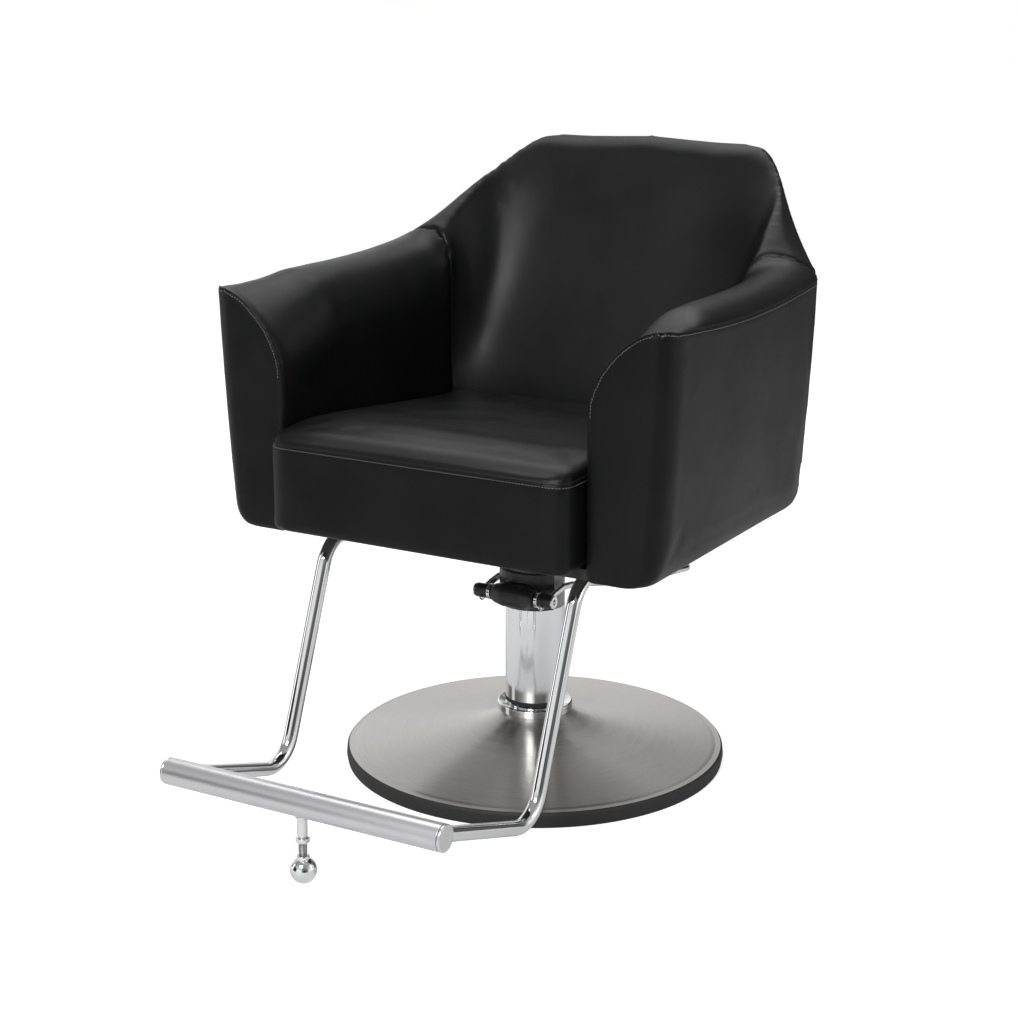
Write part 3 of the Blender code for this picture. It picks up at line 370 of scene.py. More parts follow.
def chrome_material():
    _, metal = look()
    gloss = metal.chrome_gloss
    made, tree, shader, at = blank("chrome_plate", metal.chrome, 1.0, gloss)
    haze = node(tree, "TexNoise", (("Vector", at), ("Scale", 26.0), ("Detail", 4.0), ("Roughness", 0.6)))
    lines = placed(tree, "brushed_lines", (("Vector", at), ("Fineness", (900.0, 900.0, 260.0))))
    rough = ramped(tree, haze.outputs["Fac"], 0.35, 0.70, gloss * 0.6, gloss * 1.9)
    rough = maths(tree, "ADD", rough, maths(tree, "MULTIPLY", lines.outputs["Lines"], gloss * 0.35))
    tree.links.new(rough, shader.inputs["Roughness"])
    tree.links.new(mixed(tree, haze.outputs["Fac"], metal.chrome, toned(metal.chrome, 0.93)),
                   shader.inputs["Base Color"])
    return made


def length_of(tree, first, second):
    """How far a point lies from an axis, from its coordinates across it."""
    flat = node(tree, "CombineXYZ", ((0, first), (1, second), (2, 0.0)))
    return node(tree, "VectorMath", ((0, flat.outputs[0]),), operation="LENGTH").outputs["Value"]


def ring_coordinates(tree, at):
    """Object coordinates turned into (radius, turn, height) about Z, for marks that run round a piece."""
    split = node(tree, "SeparateXYZ", ((0, at),))
    radius = length_of(tree, split.outputs["X"], split.outputs["Y"])
    turn = maths(tree, "ARCTAN2", split.outputs["Y"], split.outputs["X"])
    return node(tree, "CombineXYZ", ((0, radius), (1, turn), (2, split.outputs["Z"]))).outputs[0]


def spun_material():
    _, metal = look()
    made, tree, shader, at = blank("spun_stainless", metal.spun, 1.0, metal.spun_gloss,
                                   Anisotropic=0.85, Anisotropic_Rotation=0.25)
    rings = ring_coordinates(tree, at)
    lines = placed(tree, "brushed_lines", (("Vector", rings), ("Fineness", (2300.0, 5.0, 2300.0))))
    coarse = placed(tree, "brushed_lines", (("Vector", rings), ("Fineness", (420.0, 1.6, 420.0))))
    shade = maths(tree, "MULTIPLY", lines.outputs["Lines"], 0.55)
    shade = maths(tree, "ADD", shade, maths(tree, "MULTIPLY", coarse.outputs["Lines"], 0.35), clamp=True)
    tree.links.new(mixed(tree, shade, toned(metal.spun, 0.80), toned(metal.spun, 1.10)),
                   shader.inputs["Base Color"])
    rough = ramped(tree, lines.outputs["Lines"], 0.0, 1.0, metal.spun_gloss - 0.05, metal.spun_gloss + 0.07)
    tree.links.new(rough, shader.inputs["Roughness"])
    bumped(tree, shader, lines.outputs["Lines"], 0.00003, 0.5)
    tangent = node(tree, "Tangent", direction_type="RADIAL", axis="Z")
    tree.links.new(tangent.outputs["Tangent"], shader.inputs["Tangent"])
    return made


def satin_material():
    _, metal = look()
    made, tree, shader, at = blank("satin_aluminium", metal.satin, 1.0, 0.36, Anisotropic=0.35)
    lines = placed(tree, "brushed_lines", (("Vector", at), ("Fineness", (26.0, 1700.0, 1700.0))))
    wear = placed(tree, "rubbed_edges", (("Vector", at), ("Patch Scale", 55.0), ("Amount", 0.6)))
    shade = maths(tree, "MULTIPLY", lines.outputs["Lines"], 0.5)
    shade = maths(tree, "ADD", shade, maths(tree, "MULTIPLY", wear.outputs["Rubbed"], 0.5), clamp=True)
    tree.links.new(mixed(tree, shade, toned(metal.satin, 0.84), toned(metal.satin, 1.08)),
                   shader.inputs["Base Color"])
    tree.links.new(ramped(tree, lines.outputs["Lines"], 0.0, 1.0, 0.32, 0.46), shader.inputs["Roughness"])
    bumped(tree, shader, lines.outputs["Lines"], 0.00003, 0.5)
    return made


def cap_material():
    """The bar's end caps, turned on a lathe, so their marks run round X."""
    _, metal = look()
    bright = toned(metal.satin, 1.4)
    made, tree, shader, at = blank("turned_aluminium", bright, 1.0, 0.30)
    centre = (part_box("footrest_bar")[0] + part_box("footrest_bar")[1]) / 2
    moved = node(tree, "Mapping", (("Vector", at), ("Location", (-centre.x, -centre.y, -centre.z))))
    split = node(tree, "SeparateXYZ", ((0, moved.outputs[0]),))
    radius = length_of(tree, split.outputs["Y"], split.outputs["Z"])
    marks = node(tree, "TexNoise", (("W", radius), ("Scale", 2600.0)), noise_dimensions="1D")
    tree.links.new(mixed(tree, marks.outputs["Fac"], bright, toned(bright, 0.88)),
                   shader.inputs["Base Color"])
    tree.links.new(ramped(tree, marks.outputs["Fac"], 0.3, 0.7, 0.24, 0.38), shader.inputs["Roughness"])
    return made


def painted_material(name, colour, roughness, speck, relief, rub):
    """Paint or raw casting with fine texture, rubbed edges and a little dust."""
    made, tree, shader, at = blank(name, colour, 0.0, roughness, Specular_IOR_Level=0.5)
    wear = placed(tree, "rubbed_edges", (("Vector", at), ("Patch Scale", 70.0), ("Amount", rub)))
    texture = node(tree, "TexNoise", (("Vector", at), ("Scale", speck), ("Detail", 4.0), ("Roughness", 0.6)))
    light = toned(colour, 2.2, 0.015)
    shade = maths(tree, "ADD", maths(tree, "MULTIPLY", wear.outputs["Dust"], 0.10), wear.outputs["Rubbed"],
                  clamp=True)
    tree.links.new(mixed(tree, shade, colour, light), shader.inputs["Base Color"])
    tree.links.new(ramped(tree, texture.outputs["Fac"], 0.3, 0.7, roughness - 0.06, roughness + 0.10),
                   shader.inputs["Roughness"])
    bumped(tree, shader, texture.outputs["Fac"], relief, 0.7)
    return made


def steel_material():
    _, metal = look()
    made, tree, shader, at = blank("rolled_steel", metal.plain, 1.0, 0.38)
    lines = placed(tree, "brushed_lines", (("Vector", at), ("Fineness", (14.0, 520.0, 520.0))))
    wear = placed(tree, "rubbed_edges", (("Vector", at), ("Patch Scale", 35.0), ("Amount", 0.8)))
    shade = maths(tree, "ADD", maths(tree, "MULTIPLY", lines.outputs["Lines"], 0.6), wear.outputs["Rubbed"],
                  clamp=True)
    tree.links.new(mixed(tree, shade, toned(metal.plain, 0.72), metal.plain),
                   shader.inputs["Base Color"])
    tree.links.new(ramped(tree, lines.outputs["Cloud"], 0.3, 0.7, 0.30, 0.50), shader.inputs["Roughness"])
    return made


def plywood_material():
    made, tree, shader, at = blank("birch_plywood", (0.50, 0.35, 0.20), 0.0, 0.62)
    grain = placed(tree, "brushed_lines", (("Vector", at), ("Fineness", (160.0, 6.0, 160.0))))
    split = node(tree, "SeparateXYZ", ((0, at),))
    plies = maths(tree, "FRACT", maths(tree, "MULTIPLY", split.outputs["Z"], 420.0))
    layered = ramped(tree, plies, 0.42, 0.55, 0.0, 0.35)
    shade = maths(tree, "ADD", maths(tree, "MULTIPLY", grain.outputs["Lines"], 0.6), layered, clamp=True)
    tree.links.new(mixed(tree, shade, (0.55, 0.39, 0.23), (0.33, 0.21, 0.11)), shader.inputs["Base Color"])
    bumped(tree, shader, grain.outputs["Lines"], 0.0002, 0.4)
    return made


def bronze_material():
    made, tree, shader, at = blank("bearing_bronze", (0.55, 0.38, 0.18), 1.0, 0.34)
    rings = ring_coordinates(tree, at)
    lines = placed(tree, "brushed_lines", (("Vector", rings), ("Fineness", (900.0, 4.0, 1400.0))))
    tree.links.new(mixed(tree, lines.outputs["Lines"], (0.42, 0.28, 0.12), (0.60, 0.43, 0.22)),
                   shader.inputs["Base Color"])
    tree.links.new(ramped(tree, lines.outputs["Lines"], 0.0, 1.0, 0.28, 0.42), shader.inputs["Roughness"])
    return made


def material(name):
    """A material by its own name, made the first time it is asked for."""
    _, metal = look()
    makers = {
        "smooth_leather": leather_material,
        "waxed_thread": thread_material,
        "chrome_plate": chrome_material,
        "spun_stainless": spun_material,
        "satin_aluminium": satin_material,
        "turned_aluminium": cap_material,
        "rolled_steel": steel_material,
        "birch_plywood": plywood_material,
        "bearing_bronze": bronze_material,
        "shroud_paint": lambda: painted_material("shroud_paint", metal.shroud, 0.36, 900.0, 0.00004, 0.3),
        "stained_board": lambda: painted_material("stained_board", (0.020, 0.018, 0.016), 0.6, 300.0,
                                                  0.0001, 0.3),
        "cast_black": lambda: painted_material("cast_black", metal.casting, 0.36, 420.0, 0.00022, 0.25),
        "black_rubber": lambda: painted_material("black_rubber", metal.rubber, 0.62, 1200.0, 0.00008, 0.2),
    }
    return bpy.data.materials.get(name) or makers[name]()


# ---- Ways of making pieces ----
def piece(shape, name, finish, body, replaces=(), smooth=35.0):
    """A finished bmesh or mesh as a shown piece that rides on a body."""
    if isinstance(shape, bmesh.types.BMesh):
        mesh = bpy.data.meshes.new(name)
        shape.to_mesh(mesh)
        shape.free()
    else:
        mesh = shape
        mesh.name = name
    mesh.materials.clear()
    mesh.materials.append(material(finish))
    mesh.shade_smooth()
    mesh.set_sharp_from_angle(angle=radians(smooth))
    made = bpy.data.objects.new(name, mesh)
    bpy.context.scene.collection.objects.link(made)
    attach(made, body)
    if replaces:
        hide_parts(*replaces)
    return made


def dress(names, finish):
    """A better material on CAD nodes that keep their own shape."""
    for name in names:
        mesh = frame["nodes"][name].data
        mesh.materials.clear()
        mesh.materials.append(material(finish))


def merged(name):
    """A copy of a CAD node's mesh as a bmesh, with its loose triangles joined."""
    made = bmesh.new()
    made.from_mesh(frame["nodes"][name].data)
    bmesh.ops.remove_doubles(made, verts=made.verts, dist=0.00002)
    return made


def profile_of(name):
    """The closed (radius, height) outline of a node that was turned about Z, in order."""
    made = merged(name)
    flat = {}
    for v in made.verts:
        if abs(v.co.y) < 0.00003 and v.co.x > -0.00003:
            flat[v] = (max(v.co.x, 0.0), v.co.z)
    start = max(flat, key=lambda v: (flat[v][1], flat[v][0]))
    order = [start]
    while True:
        near = [e.other_vert(order[-1]) for e in order[-1].link_edges]
        near = [v for v in near if v in flat and v not in order]
        if not near:
            break
        order.append(max(near, key=lambda v: flat[v][0]) if len(order) == 1 else near[0])
    outline = [flat[v] for v in order]
    made.free()
    return outline


def filleted(outline, bend, closed=True, least=24.0):
    """The outline with each corner sharper than that angle rounded, and held by close points."""
    points = [Vector(p) for p in outline]
    count = len(points)
    made = []
    for i, here in enumerate(points):
        before, after = points[i - 1], points[(i + 1) % count]
        if not closed and i in (0, count - 1):
            made.append(here)
            continue
        back, on = before - here, after - here
        if back.length < 1e-6 or on.length < 1e-6:
            continue
        angle = back.angle(on)
        if pi - angle < radians(least):
            made.append(here)
            continue
        reach = min(bend / tan(angle / 2), back.length * 0.42, on.length * 0.42)
        start, end = here + back.normalized() * reach, here + on.normalized() * reach
        hold = min(reach * 0.5, back.length * 0.05 + 0.0001)
        made.append(start + back.normalized() * hold)
        for t in (0.0, 0.25, 0.5, 0.75, 1.0):
            made.append(start.lerp(here, t).lerp(here.lerp(end, t), t))
        made.append(end + on.normalized() * hold)
    return [(p.x, p.y) for p in made]


def spun(outline, steps, closed=True, place=None):
    """An outline of (radius, height) spun about Z into a skin, then placed by a matrix."""
    made = bmesh.new()
    verts = [made.verts.new((r, 0, z)) for r, z in outline]
    pairs = list(zip(verts, verts[1:]))
    if closed:
        pairs.append((verts[-1], verts[0]))
    edges = [made.edges.new(pair) for pair in pairs]
    bmesh.ops.spin(made, geom=verts + edges, cent=(0, 0, 0), axis=(0, 0, 1), dvec=(0, 0, 0),
                   angle=2 * pi, steps=steps, use_merge=True, use_duplicate=False)
    bmesh.ops.remove_doubles(made, verts=made.verts, dist=0.000004)
    bmesh.ops.recalc_face_normals(made, faces=made.faces)
    if place:
        made.transform(place)
    return made


def turned(outline, bend, steps, place=None, closed=True):
    """An outline whose corners are eased and which is then spun about Z and placed."""
    return spun(filleted(outline, bend, closed), steps, closed, place)


def along_x(centre, facing=1):
    """A matrix that lays a piece turned about Z along X, with its top towards +X or -X."""
    return Matrix.Translation(centre) @ Matrix.Rotation(facing * pi / 2, 4, "Y")


def respun(name, finish, body, bend, steps=FINE):
    """A CAD node turned about Z, made again with more facets and eased corners."""
    piece(turned(profile_of(name), bend, steps), name + "_fine", finish, body, (name,), 50)


def rounds_of(name, start):
    """Centres of a bent tube's rings, walked from the end nearest to a point."""
    made = merged(name)
    first = min(made.verts, key=lambda v: (v.co - start).length)
    normal = min(first.link_faces, key=lambda f: (f.calc_center_median() - start).length).normal.copy()
    layer = {v for v in made.verts if abs((v.co - first.co).dot(normal)) < 0.0002
             and (v.co - first.co).length < 0.03}
    seen, centres = set(layer), []
    while layer:
        centres.append(sum((v.co for v in layer), Vector()) / len(layer))
        layer = {e.other_vert(v) for v in layer for e in v.link_edges} - seen
        seen |= layer
    made.free()
    return centres


def smooth_path(points, step):
    """Points close together on a smooth curve through the given ones."""
    even = [points[0]]
    for a, b in zip(points, points[1:]):
        parts = max(1, round((b - a).length / (step * 1.6)))
        even += [a.lerp(b, (i + 1) / parts) for i in range(parts)]
    ends = [even[0] * 2 - even[1]] + even + [even[-1] * 2 - even[-2]]
    made = []
    for a, b, c, d in zip(ends, ends[1:], ends[2:], ends[3:]):
        parts = max(1, int((c - b).length / step))
        for i in range(parts):
            t = i / parts
            made.append(0.5 * (2 * b + (c - a) * t + (2 * a - 5 * b + 4 * c - d) * t * t
                               + (3 * b - a - 3 * c + d) * t ** 3))
    made.append(even[-1].copy())
    return made


def swept(points, radius, sides=32):
    """A round rod along points, as a bmesh with closed ends."""
    curve = bpy.data.curves.new("rod", "CURVE")
    curve.dimensions = "3D"
    curve.bevel_depth = radius
    curve.bevel_resolution = max(0, (sides - 4) // 2)
    curve.use_fill_caps = True
    line = curve.splines.new("POLY")
    line.points.add(len(points) - 1)
    for point, at in zip(line.points, points):
        point.co = (*at, 1)
    guide = bpy.data.objects.new("rod", curve)
    bpy.context.scene.collection.objects.link(guide)
    graph = bpy.context.evaluated_depsgraph_get()
    mesh = bpy.data.meshes.new_from_object(guide.evaluated_get(graph))
    made = bmesh.new()
    made.from_mesh(mesh)
    bmesh.ops.remove_doubles(made, verts=made.verts, dist=0.000003)
    bmesh.ops.recalc_face_normals(made, faces=made.faces)
    bpy.data.objects.remove(guide)
    bpy.data.meshes.remove(mesh)
    return made


def evaluated_mesh(made):
    bpy.context.view_layer.update()
    graph = bpy.context.evaluated_depsgraph_get()
    return bpy.data.meshes.new_from_object(made.evaluated_get(graph))


def coordinates(mesh):
    found = np.empty(len(mesh.vertices) * 3)
    mesh.vertices.foreach_get("co", found)
    return found.reshape(-1, 3)


def normals_of(mesh):
    return np.array([tuple(v.normal) for v in mesh.vertices])


def put(mesh, found):
    mesh.vertices.foreach_set("co", np.ascontiguousarray(found, np.float32).ravel())
    mesh.update()


def remeshed(source, cell):
    """A bmesh's solid as an even skin of small squares."""
    mesh = bpy.data.meshes.new("pad")
    source.to_mesh(mesh)
    source.free()
    solid = bpy.data.objects.new("pad", mesh)
    bpy.context.scene.collection.objects.link(solid)
    cells = solid.modifiers.new("Cells", "REMESH")
    cells.mode = "VOXEL"
    cells.voxel_size = cell
    cells.adaptivity = 0.0
    made = evaluated_mesh(solid)
    bpy.data.objects.remove(solid)
    bpy.data.meshes.remove(mesh)
    return made


def averager(mesh):
    """A function that turns a mesh's points into the mean of each point's neighbours."""
    ends = np.empty(len(mesh.edges) * 2, np.int32)
    mesh.edges.foreach_get("vertices", ends)
    a, b = ends.reshape(-1, 2).T
    count = len(mesh.vertices)
    degree = np.bincount(a, minlength=count) + np.bincount(b, minlength=count)
    degree = np.maximum(degree, 1)[:, None]

    def average(found):
        total = [np.bincount(a, weights=found[b, k], minlength=count)
                 + np.bincount(b, weights=found[a, k], minlength=count) for k in range(3)]
        return np.stack(total, 1) / degree

    return average


def relaxed(mesh, weight, rounds):
    """Smooths a mesh by turns inwards and outwards, so that it keeps its size."""
    found = coordinates(mesh)
    average = averager(mesh)
    for _ in range(rounds):
        for amount in (0.55, -0.565):
            found = found + amount * weight[:, None] * (average(found) - found)
    put(mesh, found)


def path_distance(found, lines):
    """Distance of each point from the nearest of several polylines."""
    near = np.full(len(found), 1.0)
    for line in lines:
        points = np.array([tuple(p) for p in line])
        for p, q in zip(points, points[1:]):
            run = q - p
            size = max(run @ run, 1e-12)
            t = np.clip((found - p) @ run / size, 0, 1)
            near = np.minimum(near, np.linalg.norm(found - (p + t[:, None] * run), axis=1))
    return near


def eased(values, low, high):
    t = np.clip((values - low) / (high - low), 0, 1)
    return t * t * (3 - 2 * t)


# ---- Lines of the seams ----
def face_loop(name, facing, extreme):
    """Corner points, in order, of the large flat face of a node that looks most along a direction."""
    made = merged(name)
    bmesh.ops.dissolve_limit(made, angle_limit=radians(0.6), verts=made.verts, edges=made.edges,
                             use_dissolve_boundaries=False, delimit=set())
    facing = Vector(facing).normalized()
    fitting = [f for f in made.faces if f.normal.dot(facing) > 0.99]
    chosen = max(fitting, key=lambda f: f.calc_center_median().dot(Vector(extreme)) * 10 + f.calc_area())
    loop = [v.co.copy() for v in chosen.verts]
    made.free()
    return loop


def turned_to_start(loop, start):
    """The loop begun at the point nearest to a place."""
    first = min(range(len(loop)), key=lambda i: (loop[i] - start).length)
    return loop[first:] + loop[:first]


def arm_lines(side, s):
    """Lines on one arm: round its front, along the top of its side, and where it meets the back."""
    sewing = bpy.context.scene.chair_sewing
    low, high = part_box("arm_" + side)
    outside = high.x if s > 0 else low.x
    front = face_loop("arm_" + side, (0, -1, 0), (0, -1, 0))
    corner = Vector((outside - s * sewing.front_round, low.y, high.z))
    foot = min((p for p in front if p.z < low.z + 0.02), key=lambda p: abs(p.x))
    front = turned_to_start(front, foot)
    end = min(range(len(front)), key=lambda i: (front[i] - corner).length)
    one, two = front[:end + 1], [front[0]] + front[:end - 1:-1] if end else []
    inner = lambda run: sum(abs(p.x) for p in run) / max(len(run), 1)
    curve = one if inner(one) < inner(two) else two
    edge_z = curve[-1].z
    seam = face_loop("arm_" + side, (s * -0.26, 0.965, 0), (0, 1, 0))
    rear_y = max(seam, key=lambda p: s * p.x * 2 + p.z if p.z > low.z + 0.2 else -9).y
    top = []
    for i in range(13):
        turn = pi / 2 * i / 12
        top.append(Vector((outside - s * sewing.front_round * (1 - sin(turn)),
                           low.y + sewing.front_round * (1 - cos(turn)), edge_z)))
    for i in range(1, 25):
        y = low.y + sewing.front_round + (rear_y - low.y - sewing.front_round) * i / 24
        along = (y - low.y) / (rear_y - low.y)
        top.append(Vector((outside, y, edge_z - sewing.side_dip * sin(pi * along * 0.97))))
    return {"front": curve, "top": top, "seam": seam + [seam[0]], "front_all": front + [front[0]]}


def back_slope(s):
    """The line down the backrest's outer face, from its upper corner to its foot."""
    low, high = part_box("backrest")
    corner = max(frame["nodes"]["backrest"].data.vertices,
                 key=lambda v: v.co.z * 2 + s * v.co.x + v.co.y).co
    foot = Vector((corner.x * 1.08, low.y + (high.y - low.y) * 0.45, low.z + 0.04))
    return [corner.lerp(foot, i / 24) + Vector((0, 0.03, 0)) for i in range(2, 24)]


def seat_line(drop):
    """A line round the front of the seat cushion, that far under its front crown."""
    low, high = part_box("seat_cushion")
    z = high.z - drop
    bend = SEAT_CORNER
    line = [Vector((low.x, 0.06, z - 0.003)), Vector((low.x, low.y + bend + 0.05, z + 0.001))]
    for i in range(9):
        turn = pi / 2 * i / 8
        line.append(Vector((low.x + bend * (1 - cos(turn)), low.y + bend * (1 - sin(turn)), z)))
    for i in range(1, 12):
        line.append(Vector((low.x + bend + (high.x - low.x - 2 * bend) * i / 12, low.y, z)))
    mirrored = [Vector((-p.x, p.y, p.z)) for p in reversed(line[:11])]
    return line + mirrored


# ---- Pads ----
def without_slot(name, core):
    """A pad's solid with the slot for its plywood former closed."""
    made = merged(name)
    board = merged(core)
    tree = BVHTree.FromBMesh(board)
    inside = [v for v in made.verts if tree.find_nearest(v.co)[3] < 0.0032]
    bmesh.ops.delete(made, geom=inside, context="VERTS")
    bmesh.ops.holes_fill(made, edges=[e for e in made.edges if e.is_boundary], sides=0)
    bmesh.ops.triangulate(made, faces=made.faces)
    bmesh.ops.recalc_face_normals(made, faces=made.faces)
    board.free()
    return made


def start_pad(name, source, lines, crisp, cell):
    """An even leather skin over a pad's solid, smoothed between its seams and ready to be filled."""
    sizes = bpy.context.scene.chair_pads
    mesh = remeshed(source, cell)
    start = coordinates(mesh)
    sharp = 0.04 + 0.96 * eased(path_distance(start, crisp), 0.002, 0.022)
    relaxed(mesh, sharp, 3)
    near = path_distance(start, lines)
    relaxed(mesh, np.minimum(sharp, 0.35 + 0.65 * eased(near, 0.003, 0.026)), sizes.relax)
    made = bpy.data.objects.new(name, mesh)
    bpy.context.scene.collection.objects.link(made)
    start = coordinates(mesh)
    near = path_distance(start, lines)
    normals = normals_of(mesh)
    free = eased(near, sizes.hold * 0.4, sizes.hold * 3.0)
    put(mesh, start - normals * (sizes.slack * free)[:, None])
    held = made.vertex_groups.new(name="held")
    lowest = start[:, 2].min()
    for i in np.nonzero((near < sizes.hold) | (start[:, 2] < lowest + 0.012))[0]:
        held.add([int(i)], 1.0, "REPLACE")
    return made


def soften_inside(made, lines):
    """Melts the folds on the inner face of the back into one hollow curve."""
    mesh = made.data
    found = coordinates(mesh)
    normals = normals_of(mesh)
    outward = found[:, :2] - np.array([0.0, -0.05])
    outward /= np.linalg.norm(outward, axis=1, keepdims=True)
    inner = eased(-(normals[:, :2] * outward).sum(1), 0.55, 0.85) * (1 - eased(normals[:, 2], 0.46, 0.62))
    weight = inner * eased(path_distance(found, lines), 0.003, 0.040)
    average = averager(mesh)
    for _ in range(260):
        found = found + 0.8 * weight[:, None] * (average(found) - found)
    put(mesh, found)


def add_filling(made, pressure):
    sizes = bpy.context.scene.chair_pads
    cloth = made.modifiers.new("Filling", "CLOTH")
    cloth.settings.quality = 5
    cloth.settings.mass = 0.3
    cloth.settings.tension_stiffness = 18
    cloth.settings.compression_stiffness = 18
    cloth.settings.shear_stiffness = 8
    cloth.settings.bending_stiffness = 2.5
    cloth.settings.air_damping = 2.0
    cloth.settings.use_pressure = True
    cloth.settings.uniform_pressure_force = pressure
    cloth.settings.vertex_group_mass = "held"
    cloth.settings.effector_weights.gravity = 0.0
    cloth.collision_settings.use_collision = False
    cloth.point_cache.frame_start = 1
    cloth.point_cache.frame_end = sizes.steps + 1


def fill(pads, holding):
    """Runs the filling of every pad together, then caps and keeps what it did."""
    scene = bpy.context.scene
    sizes = scene.chair_pads
    scene.frame_start, scene.frame_end = 1, sizes.steps + 1
    starts = {made.name: coordinates(made.data) for made in pads}
    near = {made.name: path_distance(starts[made.name], lines) for made, lines in zip(pads, holding)}
    for made in pads:
        add_filling(made, sizes.pressure)
    for moment in range(1, sizes.steps + 1):
        scene.frame_set(moment)
    for made in pads:
        result = evaluated_mesh(made)
        moved = coordinates(result) - starts[made.name]
        size = np.linalg.norm(moved, axis=1, keepdims=True)
        moved *= np.minimum(1.0, sizes.proud / np.maximum(size, 1e-9))
        made.modifiers.clear()
        put(made.data, starts[made.name] + moved)
        relaxed(made.data, 0.10 + 0.90 * eased(near[made.name], 0.003, 0.02), 20)
        bpy.data.meshes.remove(result)
    scene.frame_set(1)


def finish_pad(made, name, node_names, lines, fullness):
    sewing = bpy.context.scene.chair_sewing
    smoother = made.modifiers.new("Fine", "SUBSURF")
    smoother.levels = smoother.render_levels = 1
    mesh = evaluated_mesh(made)
    made.modifiers.clear()
    old = made.data
    made.data = mesh
    bpy.data.meshes.remove(old)
    found = coordinates(mesh)
    near = path_distance(found, lines)
    normals = normals_of(mesh)
    dip = np.exp(-(near / sewing.groove_width) ** 2) * sewing.groove
    put(mesh, found - normals * dip[:, None])
    mesh.name = made.name = name
    made.vertex_groups.clear()
    mesh.materials.clear()
    mesh.materials.append(material("smooth_leather"))
    mesh.shade_smooth()
    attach(made, "chair")
    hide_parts(*node_names)


# ---- Sewing ----
def resampled(points, step):
    """Points at even spacing along a polyline."""
    sizes = [0.0]
    for p, q in zip(points, points[1:]):
        sizes.append(sizes[-1] + (q - p).length)
    count = max(2, int(sizes[-1] / step))
    marks = np.linspace(0, sizes[-1], count + 1)
    columns = [np.interp(marks, sizes, [p[k] for p in points]) for k in range(3)]
    return [Vector(p) for p in zip(*columns)]


def on_surface(tree, points, lift, passes):
    """The points moved onto a pad's surface and raised by a height, with the surface's normals."""
    laid, normals = [], []
    for p in points:
        at, normal, _, _ = tree.find_nearest(p)
        laid.append(at + normal * lift)
        normals.append(normal)
    for _ in range(passes):
        laid[1:-1] = [(a + b * 2 + c) / 4 for a, b, c in zip(laid, laid[1:], laid[2:])]
    return laid, normals


def beside(points, normals, distance):
    """The line moved sideways over the surface; positive is to the left of its run, seen from outside."""
    made = []
    for i, (p, n) in enumerate(zip(points, normals)):
        run = points[min(i + 1, len(points) - 1)] - points[max(i - 1, 0)]
        made.append(p + n.cross(run).normalized() * distance)
    return made


def stitches(name, tree, points, sewing):
    """A row of stitches along a line on a surface, as one piece."""
    marks = resampled(points, sewing.pitch)
    one = bmesh.new()
    bmesh.ops.create_uvsphere(one, u_segments=6, v_segments=4, radius=1.0)
    bmesh.ops.rotate(one, verts=one.verts, cent=(0, 0, 0), matrix=Matrix.Rotation(pi / 2, 3, "Y"))
    shape = bpy.data.meshes.new("stitch")
    one.to_mesh(shape)
    one.free()
    row = bmesh.new()
    for p, q in zip(marks, marks[1:]):
        at, normal, _, _ = tree.find_nearest((p + q) / 2)
        run = (q - p).normalized()
        across = normal.cross(run).normalized()
        run = across.cross(normal)
        turn = Matrix((run, across, normal)).transposed().to_4x4()
        size = Matrix.Diagonal((sewing.stitch / 2, sewing.thread, sewing.thread, 1))
        first = len(row.verts)
        row.from_mesh(shape)
        row.verts.ensure_lookup_table()
        bmesh.ops.transform(row, verts=row.verts[first:],
                            matrix=Matrix.Translation(at + normal * sewing.thread * 0.45) @ turn @ size)
    bpy.data.meshes.remove(shape)
    piece(row, name, "waxed_thread", "chair")


def lip(name, tree, points, sewing, scale=1.0):
    """The raised lip of a seam, as a piece."""
    radius = sewing.piping * scale
    lift = radius * (1 - sewing.sunk * 2) + sewing.groove * 0.15
    laid, _ = on_surface(tree, resampled(points, SEAM_STEP), lift, 2)
    piece(swept(laid, radius, 8), name, "smooth_leather", "chair")


def surface_of(name):
    return BVHTree.FromObject(bpy.data.objects[name], bpy.context.evaluated_depsgraph_get())


# ---- Operators: one for each group of pieces ----
class CHAIR_OT_pads(bpy.types.Operator):
    """Makes the leather of the arms, the backrest and the seat cushion"""

    bl_idname = "chair.pads"
    bl_label = "Pads"

    def execute(self, context):
        sizes = context.scene.chair_pads
        cell = sizes.cell * 1.0
        jobs, seams, held = [], [], []
        for side, s in SIDES:
            lines = arm_lines(side, s)
            seams.append(lines["seam"])
            holding = [lines["front"], lines["top"], lines["seam"], lines["front_all"]]
            source = without_slot("arm_" + side, "arm_core_" + side)
            made = start_pad("arm_" + side, source, holding, [lines["seam"]], cell)
            held.append(holding)
            grooves = [lines["front"], lines["top"]]
            jobs.append((made, "arm_pad_" + side, ("arm_" + side, "arm_core_" + side), grooves, 0.9))
        made = start_pad("back", without_slot("backrest", "back_core"), seams, seams, cell * 1.12)
        soften_inside(made, seams)
        held.append(seams)
        jobs.append((made, "back_pad", ("backrest", "back_core"), [], 0.85))
        seam = seat_line(context.scene.chair_sewing.seat_seam)
        made = start_pad("cushion", merged("seat_cushion"), [seam], [], cell)
        held.append([seam])
        jobs.append((made, "seat_pad", ("seat_cushion",), [seam], 0.85))
        fill([job[0] for job in jobs], held)
        for job in jobs:
            finish_pad(*job)
        return {"FINISHED"}


